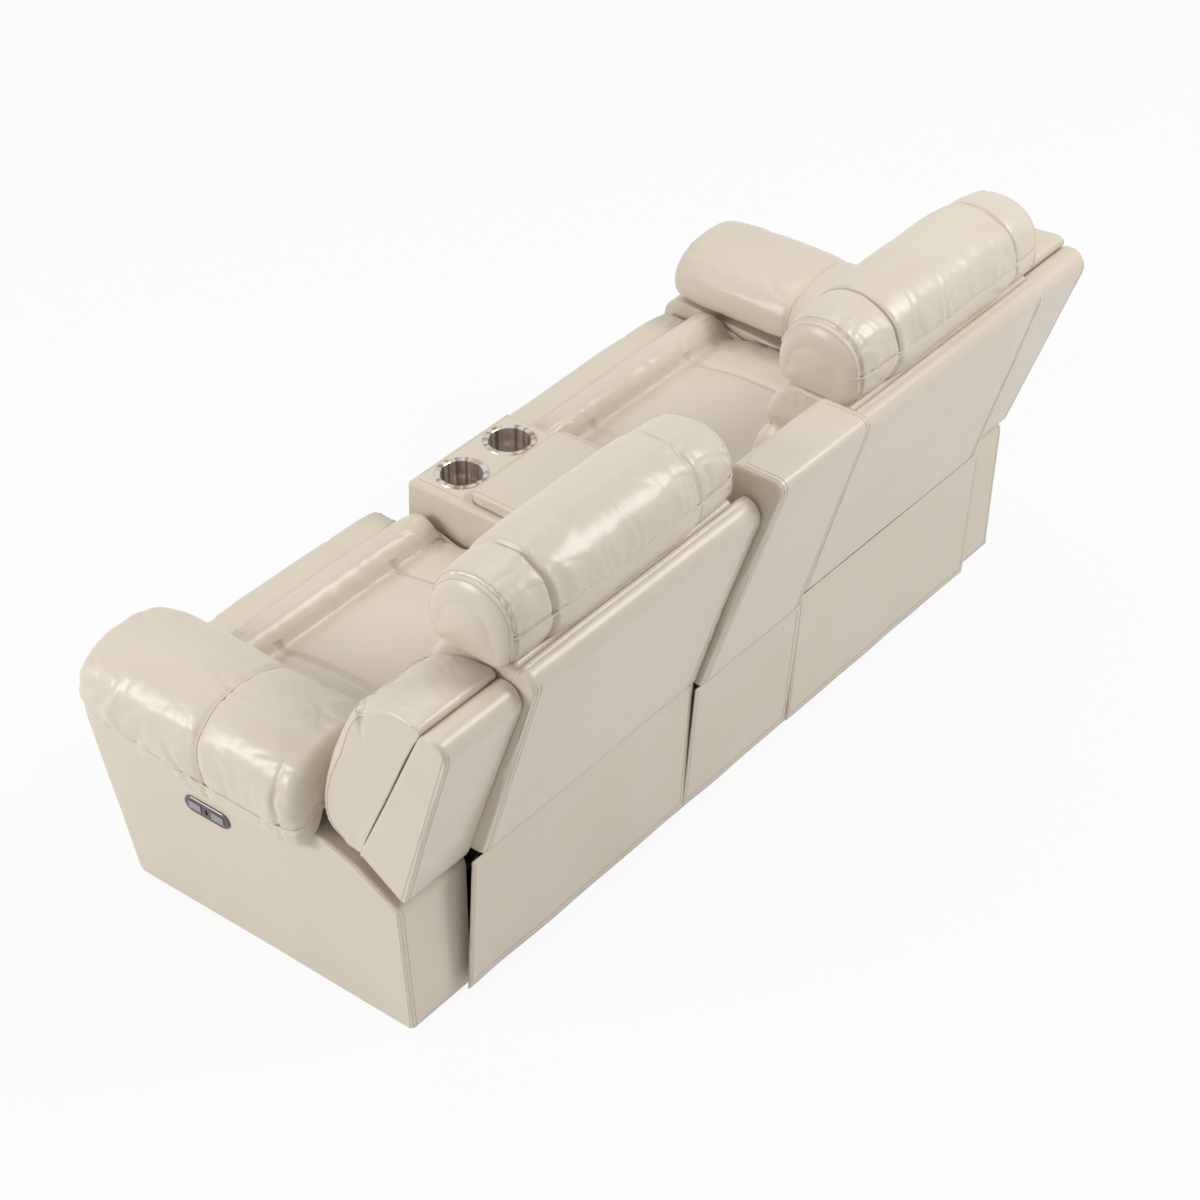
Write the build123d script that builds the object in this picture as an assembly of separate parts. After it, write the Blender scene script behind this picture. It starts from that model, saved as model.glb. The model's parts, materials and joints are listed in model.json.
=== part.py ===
from build123d import *
import os
from math import atan2, cos, degrees, dist, pi, radians, sin, tan

# Power reclining console loveseat: two reclining seats either side of a fixed console.
# Millimetres. +X is the sitter's left, -Y the front, +Z up; the origin is on the floor, on the mirror
# plane, midway between the foremost and the rearmost point.

os.makedirs("parts", exist_ok=True)

# General clearances
SEAM_GAP = 0.5            # between neighbouring soft pieces
SEWN_GAP = 0.3            # where one cover is sewn to the next
RUN_FIT = 0.05            # radial, pins in their holes
SLIDE_FIT = 0.15          # radial or per side, sliding pieces
SOFT_STEPS = 8            # sections across a cushion

# Base
FOOT_HEIGHT = 12
FOOT_RADIUS = 22
RAIL_HEIGHT = 50
RAIL_WIDTH = 40
FRONT_RAIL_Y = -280       # middle of the front base rail
REAR_RAIL_Y = 230         # middle of the rear base rail
DUST_COVER = 1.2          # thickness of the cloth under the rails

# Arms
ARM_INNER_X = 772         # face beside the seat
ARM_FOOT_WIDTH = 158      # at floor level
ARM_SPLAY = 4.0           # degrees that the outer side leans out
ARM_FRONT_Y = -398        # front edge at floor level
ARM_FRONT_LEAN = 11.5     # degrees that the front leans forward
ARM_REAR_Y = 283
ARM_TOP_Z = 428           # top edge of the side panel at the front
ARM_SHOULDER = (95, 398)  # y, z where the top edge turns down to the rear
ARM_REAR_TOP_Z = 312
ARM_WALL = 14
ARM_PANEL = 18            # plywood panel inside the arm
PILLOW_FRONT_Y = -446
PILLOW_REAR_Y = 100
PILLOW_TOP_Z = 569
PILLOW_HEM_Z = 372         # where it hangs to on the outer side

# Arm switch
SWITCH_Y = -176
SWITCH_Z = 294
SWITCH_LENGTH = 110
SWITCH_WIDTH = 36
BEZEL_PROUD = 4
SWITCH_BOX = (92, 22, 9)      # length, width and depth behind the arm's face
BUTTON_SIZE = (30, 16)
BUTTON_PITCH = 56
BUTTON_PROUD = 1.8
BUTTON_TRAVEL = 1.5
BUTTON_FLOOR = 2              # left behind the button wells
PORT_SIZE = (13, 6)

# Console
CONSOLE_TOP_Z = 487
CONSOLE_TOP_HALF = 150
CONSOLE_FOOT_HALF = 165
CONSOLE_FRONT_Y = -392
CONSOLE_DECK_REAR_Y = 235     # the deck ends here, in front of the centre back
CONSOLE_STEP_Z = 330          # top of the console behind that
CONSOLE_FOOT_Z = 22
COVER_WALL = 14
FRAME_WALL = 15
BIN_FRONT_Y = -226
BIN_REAR_Y = -24
BIN_DEPTH = 230
CUP_X = 73
CUP_Y = -322
CUP_MOUTH_RADIUS = 42
CUP_FLANGE_RADIUS = 54.5
CUP_DEPTH = 75
CUP_WALL = 1.5
CUP_RIM = 2.5                 # height of the rolled flange
LID_HALF = 138
LID_FRONT_Y = -252
LID_LENGTH = 318
LID_BOARD = 10
LID_PAD = 13
LID_MARGIN = 4                # of the pad around the board
LID_CORNER = 12
HINGE_LEAF = 2
HINGE_AIR = 1                 # under the moving leaf and round the knuckles
HINGE_PIN_RADIUS = 2.5
HINGE_KNUCKLE_RADIUS = 5.5
HINGE_KNUCKLE = 40
HINGE_LEAF_DEPTH = 34
SUPPLY_SIZE = (140, 45, 70)   # width, depth, height
SUPPLY_LIFT = 90              # above the base rails
SUPPLY_CORNER = 8
INLET_SIZE = (28, 15, 20)

# Centre back
CENTRE_TOP_Z = 850
CENTRE_TOP_HALF = 139
CENTRE_FOOT_HALF = 160
CENTRE_TOP_DEPTH = 120
CENTRE_REAR_FOOT_Y = 329.3    # rear face at the step
CENTRE_TILT = 17.2            # degrees
CENTRE_WALL = 10

# Seats
SEAT_INNER_X = 168
SEAT_OUTER_X = 768
SEAT_DECK_Z = 340             # top of the seat rails
SEAT_RAIL_HEIGHT = 35
SEAT_RAIL_WIDTH = 40
SEAT_FRONT_RAIL_Y = -350      # middle of the rail
SEAT_REAR_RAIL_Y = 80
SPRING_WIRE = 4
SPRING_COUNT = 5
SPRING_SWING = 34
SPRING_PITCH = 30

# Backs
BACK_INNER_X = 180
BACK_OUTER_X = 778
BACK_TILT = 16.5              # degrees from upright
BACK_FOOT = (323, 345)        # y, z of the rear lower edge
BACK_TOP_Z = 808
SHELL_DEPTH = 50
SHELL_WALL = 8
STILE_WIDTH = 30
RUNG_COUNT = 4
RUNG_HEIGHT = 45
RUNG_DEPTH = 27
BACK_CUSHION_FOOT_Z = 434
HEADREST_INNER_X = 174
HEADREST_OUTER_X = 816
WING_OUTER_X = 965
WING_FOOT_REAR = (291, 330)   # y, z of the wing shell's corners
WING_FOOT_FRONT = (203, 408)
WING_TOP_FRONT = (372, 772)
WING_TOP_REAR = (442, 786)

# Leg rest
LEGREST_Y = -396              # rear face of the board at the height of the upper pivot
LEGREST_LEAN = 6.0            # degrees that the top leans forward
LEGREST_FOOT_Z = 92
LEGREST_TOP_Z = 385
LEGREST_BOARD = 15
LEGREST_PAD = 66
LEGREST_SIDE_GAP = 8

# Recliner mechanism, seen from the side
PLATE = 4                     # thickness of plates and links
PLANE_GAP = 2                 # between neighbouring planes of links
PLATE_OFFSET = 284            # inner face of the side plates from the middle of the seat
BACK_PIVOT = (226, 240)       # y, z
SWING_PIVOT = (-330, 290)     # y, z
RECLINE = 38.0                # degrees
HALF_LINK = 108
FOLD_CLOSED = 7.0             # degrees of the swing links from upright, leg rest closed
FOLD_OPEN = 83.0
LINK_WIDTH = 22
LINK_PIN_RADIUS = 4.5
PIN_HEAD_RADIUS = 8
PIN_HEAD = 2
LEVER = 50                    # drive lever of the swing links
LEVER_WIDTH = 30
DRIVE_PIN_RADIUS = 5
DRIVE_PIN_PLAY = 2.2
PUSH_BAR = 6
PUSH_BAR_WIDTH = 22
DRIVE_TUBE_RADIUS = 11
ROD_RADIUS = 9
ACTUATOR_RADIUS = 16
ACTUATOR_FRONT_Y = -140
HOUSING_FRONT_Y = 40
HOUSING_LENGTH = 90
HOUSING_HEIGHT = 62
HOUSING_WIDTH = 70
MOTOR_RADIUS = 27
MOTOR_LENGTH = 95
CROSS_TUBE_RADIUS = 12
CROSS_TUBE_Y = 150
TUBE_WALL = 2
WINDOW_MARGIN = 45            # round the lightening holes of the side plates
WINDOW_LENGTH = 150
WINDOW_CORNER = 30
LUG_WIDTH = 36
LUG_WALL = 6
FLANGE_WIDTH = 30             # of the leg-rest arms, on the board
ROD_INSIDE = 40               # length of rod left in its tube, leg rest open

# Rear flaps
FLAP_FOOT_Y = 304
FLAP_FOOT_Z = 26
FLAP_THICKNESS = 4
FLAP_SIDE_GAP = 6             # beside the centre skirt
FLAP_OVERLAP = 28             # behind the arm

# Places that follow from the sizes above
RAIL_TOP_Z = FOOT_HEIGHT + RAIL_HEIGHT
ARM_BLOCK_YS = (ARM_FRONT_Y + 60, (ARM_FRONT_Y + ARM_REAR_Y) / 2, ARM_REAR_Y - 50)
CONSOLE_INSIDE = CONSOLE_TOP_HALF - COVER_WALL
SEAT_X = (SEAT_INNER_X + SEAT_OUTER_X) / 2
SEAT_RAIL_FOOT_Z = SEAT_DECK_Z - SEAT_RAIL_HEIGHT
INNER_PLANE = PLATE_OFFSET - 2 * (PLANE_GAP + PLATE)
OUTER_PLANE = PLATE_OFFSET - PLANE_GAP - PLATE
PUSH_PLANE = INNER_PLANE - 2 * PLANE_GAP - PUSH_BAR
FOLD_TURN = FOLD_OPEN - FOLD_CLOSED
DRIVE_TRAVEL = 2 * LEVER * sin(radians(FOLD_TURN / 2))
RECLINE_LEVER = DRIVE_TRAVEL / (2 * sin(radians(RECLINE / 2)))
DRIVE_Z = SWING_PIVOT[1] - LEVER * cos(radians(FOLD_TURN / 2))


def lean(depth, z):
    """Y of a point at a height, so far in front of the rear plane of the back."""
    return BACK_FOOT[0] + (z - BACK_FOOT[1]) * tan(radians(BACK_TILT)) - depth


def legrest(depth, z):
    """Y and Z of a point at a height, so far in front of the rear face of the leg-rest board."""
    return LEGREST_Y - (z - SWING_PIVOT[1]) * tan(radians(LEGREST_LEAN)) - depth, z


def below(point, length, angle):
    """Point at a distance, at an angle in degrees from straight down towards the front."""
    return point[0] - length * sin(radians(angle)), point[1] - length * cos(radians(angle))


def loop(start, *legs):
    """Closed face: a leg is a point reached by a line, or a pair (via, point) reached by an arc."""
    edges = []
    here = start
    for leg in legs:
        if isinstance(leg[0], tuple):
            edges.append(ThreePointArc(here, *leg))
            here = leg[1]
        else:
            edges.append(Line(here, leg))
            here = leg
    edges.append(Line(here, start))
    return Face(Wire(edges))


def slab(face, x0, x1):
    """Side-view face drawn in Y and Z, given thickness from x0 to x1."""
    return extrude(Plane.YZ.offset(x0) * face, amount=x1 - x0, dir=(1, 0, 0))


def bar(face, y0, y1):
    """Front-view face drawn in X and Z, given length from y0 to y1."""
    return extrude(Plane.XZ.offset(-y0) * face, amount=y1 - y0, dir=(0, 1, 0))


def block(x0, x1, y0, y1, z0, z1):
    """Box between two corners."""
    return Pos((x0 + x1) / 2, (y0 + y1) / 2, (z0 + z1) / 2) * Box(x1 - x0, y1 - y0, z1 - z0)


def rounded(points, radii):
    """Face of a closed outline with a radius for each corner."""
    return make_face(FilletPolyline(*points, radius=radii, close=True))


def inset(points, walls):
    """Corners of a clockwise outline with each edge moved inwards by its own wall."""
    lines = []
    for (y0, z0), (y1, z1), wall in zip(points, points[1:] + points[:1], walls):
        share = wall / dist((y0, z0), (y1, z1))
        lines.append((y0 + (z1 - z0) * share, z0 - (y1 - y0) * share, y1 - y0, z1 - z0))
    corners = []
    for (y0, z0, run0, rise0), (y1, z1, run1, rise1) in zip(lines[-1:] + lines[:-1], lines):
        share = ((y1 - y0) * rise1 - (z1 - z0) * run1) / (run0 * rise1 - rise0 * run1)
        corners.append((y0 + share * run0, z0 + share * rise0))
    return corners


def skin(sections):
    """Smooth solid through side-view sections, given as (x, face)."""
    return loft([Plane.YZ.offset(x) * face for x, face in sections])


def mix(full, drawn, share):
    """Points between a full and a drawn-in outline; share 1 is full."""
    return [(d[0] + (f[0] - d[0]) * share, d[1] + (f[1] - d[1]) * share) for f, d in zip(full, drawn)]


def both_sides(face, near, far):
    """The same plate on both sides of the left seat, between two distances from its middle."""
    return [slab(face, SEAT_X + near, SEAT_X + far), slab(face, SEAT_X - far, SEAT_X - near)]


def strip(start, end, width):
    """Face of a bar with round ends, from one pivot to another."""
    angle = degrees(atan2(end[1] - start[1], end[0] - start[0]))
    middle = Pos((start[0] + end[0]) / 2, (start[1] + end[1]) / 2)
    return middle * Rot(0, 0, angle) * SlotCenterToCenter(dist(start, end), width)


def disc(point, radius):
    """Round face at a side-view point."""
    return Pos(*point) * Circle(radius)


def fuse_sides(groups):
    """Fuses the like-sided solids of several plate pairs and returns one solid a side."""
    sides = []
    for pieces in zip(*groups):
        solid = pieces[0]
        for piece in pieces[1:]:
            solid = solid + piece
        sides.append(solid)
    return sides


def write(name, *solids):
    """Writes one node from one or more separate solids."""
    shapes = [solid for shape in solids for solid in shape.solids()]
    export_step(Compound(shapes) if len(shapes) > 1 else shapes[0], f"parts/{name}.step")


def write_pair(name, *solids):
    """Writes a left node and its mirror image."""
    write(f"left_{name}", *solids)
    write(f"right_{name}", *[mirror(solid, about=Plane.YZ) for solid in solids])


def write_both(name, *solids):
    """Writes one node that holds the left solids and their mirror images."""
    write(name, *solids, *[mirror(solid, about=Plane.YZ) for solid in solids])


# Pivots of the leg-rest linkage, leg rest closed
LOWER_GUIDE = (SWING_PIVOT[0], SWING_PIVOT[1] - 2 * HALF_LINK * cos(radians(FOLD_CLOSED)))
GUIDE_TOP = (SWING_PIVOT[0], SWING_PIVOT[1] - 2 * HALF_LINK * cos(radians(FOLD_OPEN)))
FIRST_CROSSING = below(SWING_PIVOT, HALF_LINK, FOLD_CLOSED)
SWING_END = below(SWING_PIVOT, 2 * HALF_LINK, FOLD_CLOSED)
CROSS_END = (SWING_PIVOT[0] - 2 * HALF_LINK * sin(radians(FOLD_CLOSED)), SWING_PIVOT[1])
SECOND_CROSSING = below(CROSS_END, HALF_LINK, FOLD_CLOSED)
DRIVE_PIN = below(SWING_PIVOT, LEVER, -FOLD_TURN / 2)
RECLINE_PIN = below(BACK_PIVOT, RECLINE_LEVER, -RECLINE / 2)


def arm_side(inset=0, foot_z=FOOT_HEIGHT):
    """Side outline of an arm, or one set inside it."""
    slope = tan(radians(ARM_FRONT_LEAN))
    front = inset / cos(radians(ARM_FRONT_LEAN))
    points = [
        (ARM_FRONT_Y - foot_z * slope + front, foot_z),
        (ARM_FRONT_Y - (ARM_TOP_Z - inset) * slope + front, ARM_TOP_Z - inset),
        (ARM_SHOULDER[0] - inset / 2, ARM_SHOULDER[1] - inset),
        (ARM_REAR_Y - inset, ARM_REAR_TOP_Z - inset),
        (ARM_REAR_Y - inset, foot_z),
    ]
    return rounded(points, [0, 45, 90, 12, 0])


def arm_outer_x(z):
    """X of the arm's outer side at a height."""
    return ARM_INNER_X + ARM_FOOT_WIDTH + z * tan(radians(ARM_SPLAY))


def arm_body(growth=0):
    """Solid outer form of the left arm, or one grown by a clearance."""
    top = ARM_TOP_Z + 2 * ARM_WALL
    front_view = Polygon(
        (ARM_INNER_X - growth, 0),
        (arm_outer_x(0) + growth, 0),
        (arm_outer_x(top) + growth, top),
        (ARM_INNER_X - growth, top),
        align=None,
    )
    side_view = slab(arm_side(-growth), ARM_INNER_X - growth, arm_outer_x(top) + growth)
    return side_view & bar(front_view, ARM_FRONT_Y - ARM_TOP_Z, ARM_REAR_Y + ARM_WALL)


# Frame of the switch: on the outer side, X' to the front, Z' straight out
SWITCH_FACE = Plane(
    origin=(arm_outer_x(SWITCH_Z), SWITCH_Y, SWITCH_Z),
    x_dir=(0, -1, 0),
    z_dir=(cos(radians(ARM_SPLAY)), 0, -sin(radians(ARM_SPLAY))),
)


def arm_cover():
    """Upholstered arm box, open underneath, with a pocket behind the switch."""
    body = arm_body()
    hollow = offset(body, amount=-ARM_WALL, openings=body.faces().sort_by(Axis.Z)[0])
    length, width, depth = (size + 2 * SLIDE_FIT for size in SWITCH_BOX)
    pocket = SWITCH_FACE * Pos(0, 0, -depth / 2) * Box(length, width, depth)
    return hollow - pocket


def arm_frame():
    """Plywood panel on the inner side of the arm and three corner blocks on the floor."""
    inner_x = ARM_INNER_X + ARM_WALL
    panel = slab(arm_side(ARM_WALL + 6 * SEAM_GAP), inner_x, inner_x + ARM_PANEL)
    outer_x = arm_outer_x(FOOT_HEIGHT) - 2 * ARM_WALL
    blocks = [
        block(inner_x + ARM_PANEL, outer_x, y - RAIL_WIDTH / 2, y + RAIL_WIDTH / 2, FOOT_HEIGHT, RAIL_TOP_Z)
        for y in ARM_BLOCK_YS
    ]
    return [panel, *blocks]



def arm_pillow():
    """Stuffed pillow that hangs over the outer side of the arm and a little over the seat."""
    inner, outer, top = ARM_INNER_X, arm_outer_x(ARM_TOP_Z), PILLOW_TOP_Z
    lip = PILLOW_HEM_Z
    full = [
        (outer + 8, lip), (outer + 42, lip + 74), (outer + 32, top - 57), (outer - 3, top - 13),
        (outer - 70, top), (inner + 44, top - 7), (inner - 14, top - 39), (inner - 26, top - 85),
        (inner - 16, ARM_TOP_Z + 18),
    ]
    centre = ((inner + outer) / 2, lip + 96)
    drawn = [(centre[0] + (p[0] - centre[0]) * 0.5, centre[1] + (p[1] - centre[1]) * 0.5) for p in full]
    span = PILLOW_REAR_Y - PILLOW_FRONT_Y
    stations = [(0, 0.35), (0.06, 0.8), (0.3, 0.98), (0.55, 1), (0.85, 0.9), (0.96, 0.72), (1, 0.4)]
    sections = []
    for part, share in stations:
        p = mix(full, drawn, share)
        face = loop(p[0], (p[1], p[2]), (p[3], p[4]), (p[5], p[6]), (p[7], p[8]))
        sections.append(Plane.XZ.offset(-(PILLOW_FRONT_Y + part * span)) * face)
    return loft(sections) - arm_body(SEAM_GAP)


def switch_bezel():
    """Stadium bezel with its box, two button wells and a charging port."""
    length, width, depth = SWITCH_BOX
    plate = extrude(SlotOverall(SWITCH_LENGTH, SWITCH_WIDTH), amount=BEZEL_PROUD)
    plate = chamfer(plate.faces().sort_by(Axis.Z)[-1].edges(), BEZEL_PROUD / 3)
    body = plate + Pos(0, 0, -depth / 2) * Box(length, width, depth)
    well = depth - BUTTON_FLOOR + BEZEL_PROUD
    for x in (-BUTTON_PITCH / 2, BUTTON_PITCH / 2):
        body -= Pos(x, 0, BEZEL_PROUD - well / 2) * Box(*[size + 2 * SLIDE_FIT for size in BUTTON_SIZE], well)
    body -= Pos(0, 0, BEZEL_PROUD - well / 2) * Box(PORT_SIZE[1], PORT_SIZE[0], well)
    return SWITCH_FACE * body


def switch_button(x):
    """Rectangular button that slides straight into the switch."""
    floor = BUTTON_FLOOR - SWITCH_BOX[2] + BUTTON_TRAVEL + SLIDE_FIT
    top = BEZEL_PROUD + BUTTON_PROUD
    body = Pos(x, 0, (floor + top) / 2) * Box(*BUTTON_SIZE, top - floor)
    body = fillet(body.faces().sort_by(Axis.Z)[-1].edges(), BUTTON_PROUD / 3)
    return SWITCH_FACE * body


def console_half(z):
    """Half width of the console at a height."""
    return CONSOLE_FOOT_HALF + (CONSOLE_TOP_HALF - CONSOLE_FOOT_HALF) * z / CONSOLE_TOP_Z


def base_rails(growth=0):
    """The two wooden rails that join the arms under everything else."""
    half = RAIL_WIDTH / 2 + growth
    top = RAIL_TOP_Z + growth
    ys = (FRONT_RAIL_Y, REAR_RAIL_Y)
    return [block(-ARM_INNER_X, ARM_INNER_X, y - half, y + half, FOOT_HEIGHT - growth, top) for y in ys]


def dust_cover():
    """Black cloth stapled under the base rails, cut out round the feet."""
    half = RAIL_WIDTH / 2
    cloth = block(
        -ARM_INNER_X, ARM_INNER_X, FRONT_RAIL_Y - half, REAR_RAIL_Y + half, FOOT_HEIGHT - DUST_COVER, FOOT_HEIGHT
    )
    for x in (-CONSOLE_FOOT_HALF / 2, CONSOLE_FOOT_HALF / 2):
        for y in (FRONT_RAIL_Y, REAR_RAIL_Y):
            cloth -= Pos(x, y, FOOT_HEIGHT) * Cylinder(FOOT_RADIUS + SEAM_GAP, 2 * FOOT_HEIGHT)
    return cloth


def feet():
    """Moulded feet under the arm blocks and, near the console, under the base rails."""
    arm_x = ARM_INNER_X + ARM_FOOT_WIDTH / 2
    places = [(arm_x, y) for y in ARM_BLOCK_YS]
    places += [(CONSOLE_FOOT_HALF / 2, y) for y in (FRONT_RAIL_Y, REAR_RAIL_Y)]
    solids = []
    for x, y in places:
        foot = Cone(FOOT_RADIUS * 0.8, FOOT_RADIUS, FOOT_HEIGHT, align=(Align.CENTER, Align.CENTER, Align.MIN))
        solids.append(Pos(x, y, 0) * foot)
    return solids


def console_cover():
    """Upholstered cover of the console, open underneath, with the bin's mouth and two cup holes."""
    rear = ARM_REAR_Y
    side = rounded(
        [
            (CONSOLE_FRONT_Y, CONSOLE_FOOT_Z), (CONSOLE_FRONT_Y, CONSOLE_TOP_Z),
            (CONSOLE_DECK_REAR_Y, CONSOLE_TOP_Z), (CONSOLE_DECK_REAR_Y, CONSOLE_STEP_Z),
            (rear, CONSOLE_STEP_Z), (rear, CONSOLE_FOOT_Z),
        ],
        [0, 14, 0, 0, 0, 0],
    )
    front = rounded(
        [
            (-console_half(0), 0), (-CONSOLE_TOP_HALF, CONSOLE_TOP_Z),
            (CONSOLE_TOP_HALF, CONSOLE_TOP_Z), (console_half(0), 0),
        ],
        [0, 16, 16, 0],
    )
    body = slab(side, -CONSOLE_FOOT_HALF, CONSOLE_FOOT_HALF) & bar(front, CONSOLE_FRONT_Y, rear)
    inside = block(
        -CONSOLE_INSIDE, CONSOLE_INSIDE, CONSOLE_FRONT_Y + COVER_WALL, CONSOLE_DECK_REAR_Y - COVER_WALL,
        0, CONSOLE_TOP_Z - COVER_WALL,
    )
    inside += block(
        -CONSOLE_INSIDE, CONSOLE_INSIDE, CONSOLE_FRONT_Y + COVER_WALL, rear - COVER_WALL,
        0, CONSOLE_STEP_Z - COVER_WALL,
    )
    bin_half = CONSOLE_INSIDE - FRAME_WALL
    body = body - inside - block(-bin_half, bin_half, BIN_FRONT_Y, BIN_REAR_Y, 0, CONSOLE_TOP_Z + 1)
    for rail in base_rails(SEAM_GAP):
        body -= rail
    return body - cup_holes()



def cup_holes():
    """Clear holes for the two cups."""
    radius = CUP_MOUTH_RADIUS + CUP_WALL + SEAM_GAP
    return [Pos(x, CUP_Y, CONSOLE_TOP_Z) * Cylinder(radius, 3 * CUP_DEPTH) for x in (-CUP_X, CUP_X)]


def console_frame():
    """Plywood box inside the console with a bin under the lid, on the base rails."""
    half = CONSOLE_INSIDE - SEAM_GAP
    front = CONSOLE_FRONT_Y + COVER_WALL + SEAM_GAP
    rear = CONSOLE_DECK_REAR_Y - COVER_WALL - SEAM_GAP
    top = CONSOLE_TOP_Z - COVER_WALL
    body = block(-half, half, front, rear, RAIL_TOP_Z, top)
    bin_half = CONSOLE_INSIDE - FRAME_WALL
    bin_floor = CONSOLE_TOP_Z - BIN_DEPTH
    under_deck = top - FRAME_WALL
    rooms = [
        (front + FRAME_WALL, BIN_FRONT_Y - FRAME_WALL, 0, under_deck),
        (BIN_FRONT_Y, BIN_REAR_Y, 0, bin_floor - FRAME_WALL),
        (BIN_FRONT_Y, BIN_REAR_Y, bin_floor, CONSOLE_TOP_Z),
        (BIN_REAR_Y + FRAME_WALL, rear - FRAME_WALL, 0, under_deck),
    ]
    for y0, y1, z0, z1 in rooms:
        body -= block(-bin_half, bin_half, y0, y1, z0, z1)
    return body - cup_holes()


def power_supply():
    """Power supply on the rear wall of the bin, with its inlet facing the rear."""
    wall_y = BIN_REAR_Y + FRAME_WALL
    width, depth, height = SUPPLY_SIZE
    half, rear, foot = width / 2, wall_y + depth, RAIL_TOP_Z + SUPPLY_LIFT
    body = fillet(block(-half, half, wall_y, rear, foot, foot + height).edges().filter_by(Axis.Y), SUPPLY_CORNER)
    width, depth, height = INLET_SIZE
    return body - Pos(0, rear - depth / 2, foot + SUPPLY_SIZE[2] / 2) * Box(width, depth, height)


def cup_holder():
    """Pressed steel cup with a rolled flange."""
    r, wall, flange = CUP_MOUTH_RADIUS, CUP_WALL, CUP_FLANGE_RADIUS
    half = Polyline(
        (0, -CUP_DEPTH), (r - 3, -CUP_DEPTH), (r, 3 - CUP_DEPTH), (r, 0), (r + 3, CUP_RIM), (flange - 2, CUP_RIM),
        (flange, 0), (r + wall, 0), (r + wall, 2 - CUP_DEPTH), (r - 2, -CUP_DEPTH - wall),
        (0, -CUP_DEPTH - wall), close=True,
    )
    cup = revolve(Plane.XZ * make_face(half), Axis.Z)
    return Pos(CUP_X, CUP_Y, CONSOLE_TOP_Z) * cup


# Lid hinge: its axis runs across, behind the lid
HINGE_AXIS = (LID_FRONT_Y + LID_LENGTH + HINGE_KNUCKLE_RADIUS + HINGE_AIR, CONSOLE_TOP_Z + HINGE_KNUCKLE_RADIUS + HINGE_AIR)
LID_FOOT_Z = CONSOLE_TOP_Z + HINGE_LEAF + HINGE_AIR


def lid_hinge_base():
    """Fixed leaf of the lid hinge with its two knuckles and the pin."""
    y, z = HINGE_AXIS
    half = 1.5 * HINGE_KNUCKLE
    leaf = block(-half, half, y, y + HINGE_LEAF_DEPTH, CONSOLE_TOP_Z, CONSOLE_TOP_Z + HINGE_LEAF)
    inner = HINGE_KNUCKLE / 2 + SEAM_GAP
    web = loop((y - 2, z), (y + 3, z), (y + 5, CONSOLE_TOP_Z), (y - 2, CONSOLE_TOP_Z))
    for x0, x1 in ((-half, -inner), (inner, half)):
        leaf = leaf + slab(disc(HINGE_AXIS, HINGE_KNUCKLE_RADIUS), x0, x1) + slab(web, x0, x1)
    relief = slab(disc(HINGE_AXIS, HINGE_KNUCKLE_RADIUS + SEAM_GAP), -inner, inner)
    return (leaf - relief) + slab(disc(HINGE_AXIS, HINGE_PIN_RADIUS), -half, half)


def lid_hinge_leaf():
    """Moving leaf of the lid hinge, under the lid board, with the middle knuckle."""
    y, z = HINGE_AXIS
    half = HINGE_KNUCKLE / 2
    leaf = block(-half, half, y - HINGE_LEAF_DEPTH, y, LID_FOOT_Z - HINGE_LEAF, LID_FOOT_Z)
    leaf = leaf + slab(disc(HINGE_AXIS, HINGE_KNUCKLE_RADIUS), -half, half)
    return leaf - slab(disc(HINGE_AXIS, HINGE_PIN_RADIUS + RUN_FIT), -half, half)


def lid_board():
    """Plywood board of the console lid."""
    rear = LID_FRONT_Y + LID_LENGTH
    half, front = LID_HALF - LID_MARGIN, LID_FRONT_Y + LID_MARGIN
    board = block(-half, half, front, rear, LID_FOOT_Z, LID_FOOT_Z + LID_BOARD)
    return fillet(board.edges().filter_by(Axis.Z), LID_CORNER)


def lid_pad():
    """Crowned pad over the lid board."""
    rear, foot = LID_FRONT_Y + LID_LENGTH, LID_FOOT_Z + LID_BOARD
    middle_y = (LID_FRONT_Y + rear) / 2
    sections = []
    for x, rise, inset in ((-LID_HALF, 0.45, 10), (-LID_HALF + 14, 0.9, 1), (0, 1, 0),
                           (LID_HALF - 14, 0.9, 1), (LID_HALF, 0.45, 10)):
        front, back, edge = LID_FRONT_Y + inset, rear - inset, foot + (LID_PAD - 5) * rise
        crown = (middle_y, foot + LID_PAD * rise)
        sections.append((x, loop((front, foot), (front, edge), (crown, (back, edge)), (back, foot))))
    return skin(sections)


def centre_rear(z):
    """Y of the centre back's rear face at a height."""
    return CENTRE_REAR_FOOT_Y + (z - CONSOLE_STEP_Z) * tan(radians(CENTRE_TILT))


def centre_half(z):
    """Half width of the centre back at a height."""
    share = (z - CONSOLE_STEP_Z) / (CENTRE_TOP_Z - CONSOLE_STEP_Z)
    return CENTRE_FOOT_HALF + (CENTRE_TOP_HALF - CENTRE_FOOT_HALF) * share


def centre_back_body():
    """Solid outer form of the centre back."""
    foot, top, deck = CONSOLE_STEP_Z + SEAM_GAP, CENTRE_TOP_Z, CONSOLE_TOP_Z
    front = CONSOLE_DECK_REAR_Y + SEAM_GAP
    side = rounded(
        [
            (front, foot), (front, deck), (centre_rear(top) - CENTRE_TOP_DEPTH, top),
            (centre_rear(top), top), (centre_rear(foot), foot),
        ],
        [0, 0, 26, 18, 0],
    )
    face = rounded(
        [
            (-centre_half(foot), foot), (-centre_half(top), top),
            (centre_half(top), top), (centre_half(foot), foot),
        ],
        [0, 14, 14, 0],
    )
    return slab(side, -CENTRE_FOOT_HALF, CENTRE_FOOT_HALF) & bar(face, front, centre_rear(top))


def centre_back_cover():
    """Upholstered cover of the centre back, open underneath."""
    body = centre_back_body()
    return offset(body, amount=-CENTRE_WALL, openings=body.faces().sort_by(Axis.Z)[0])


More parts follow.
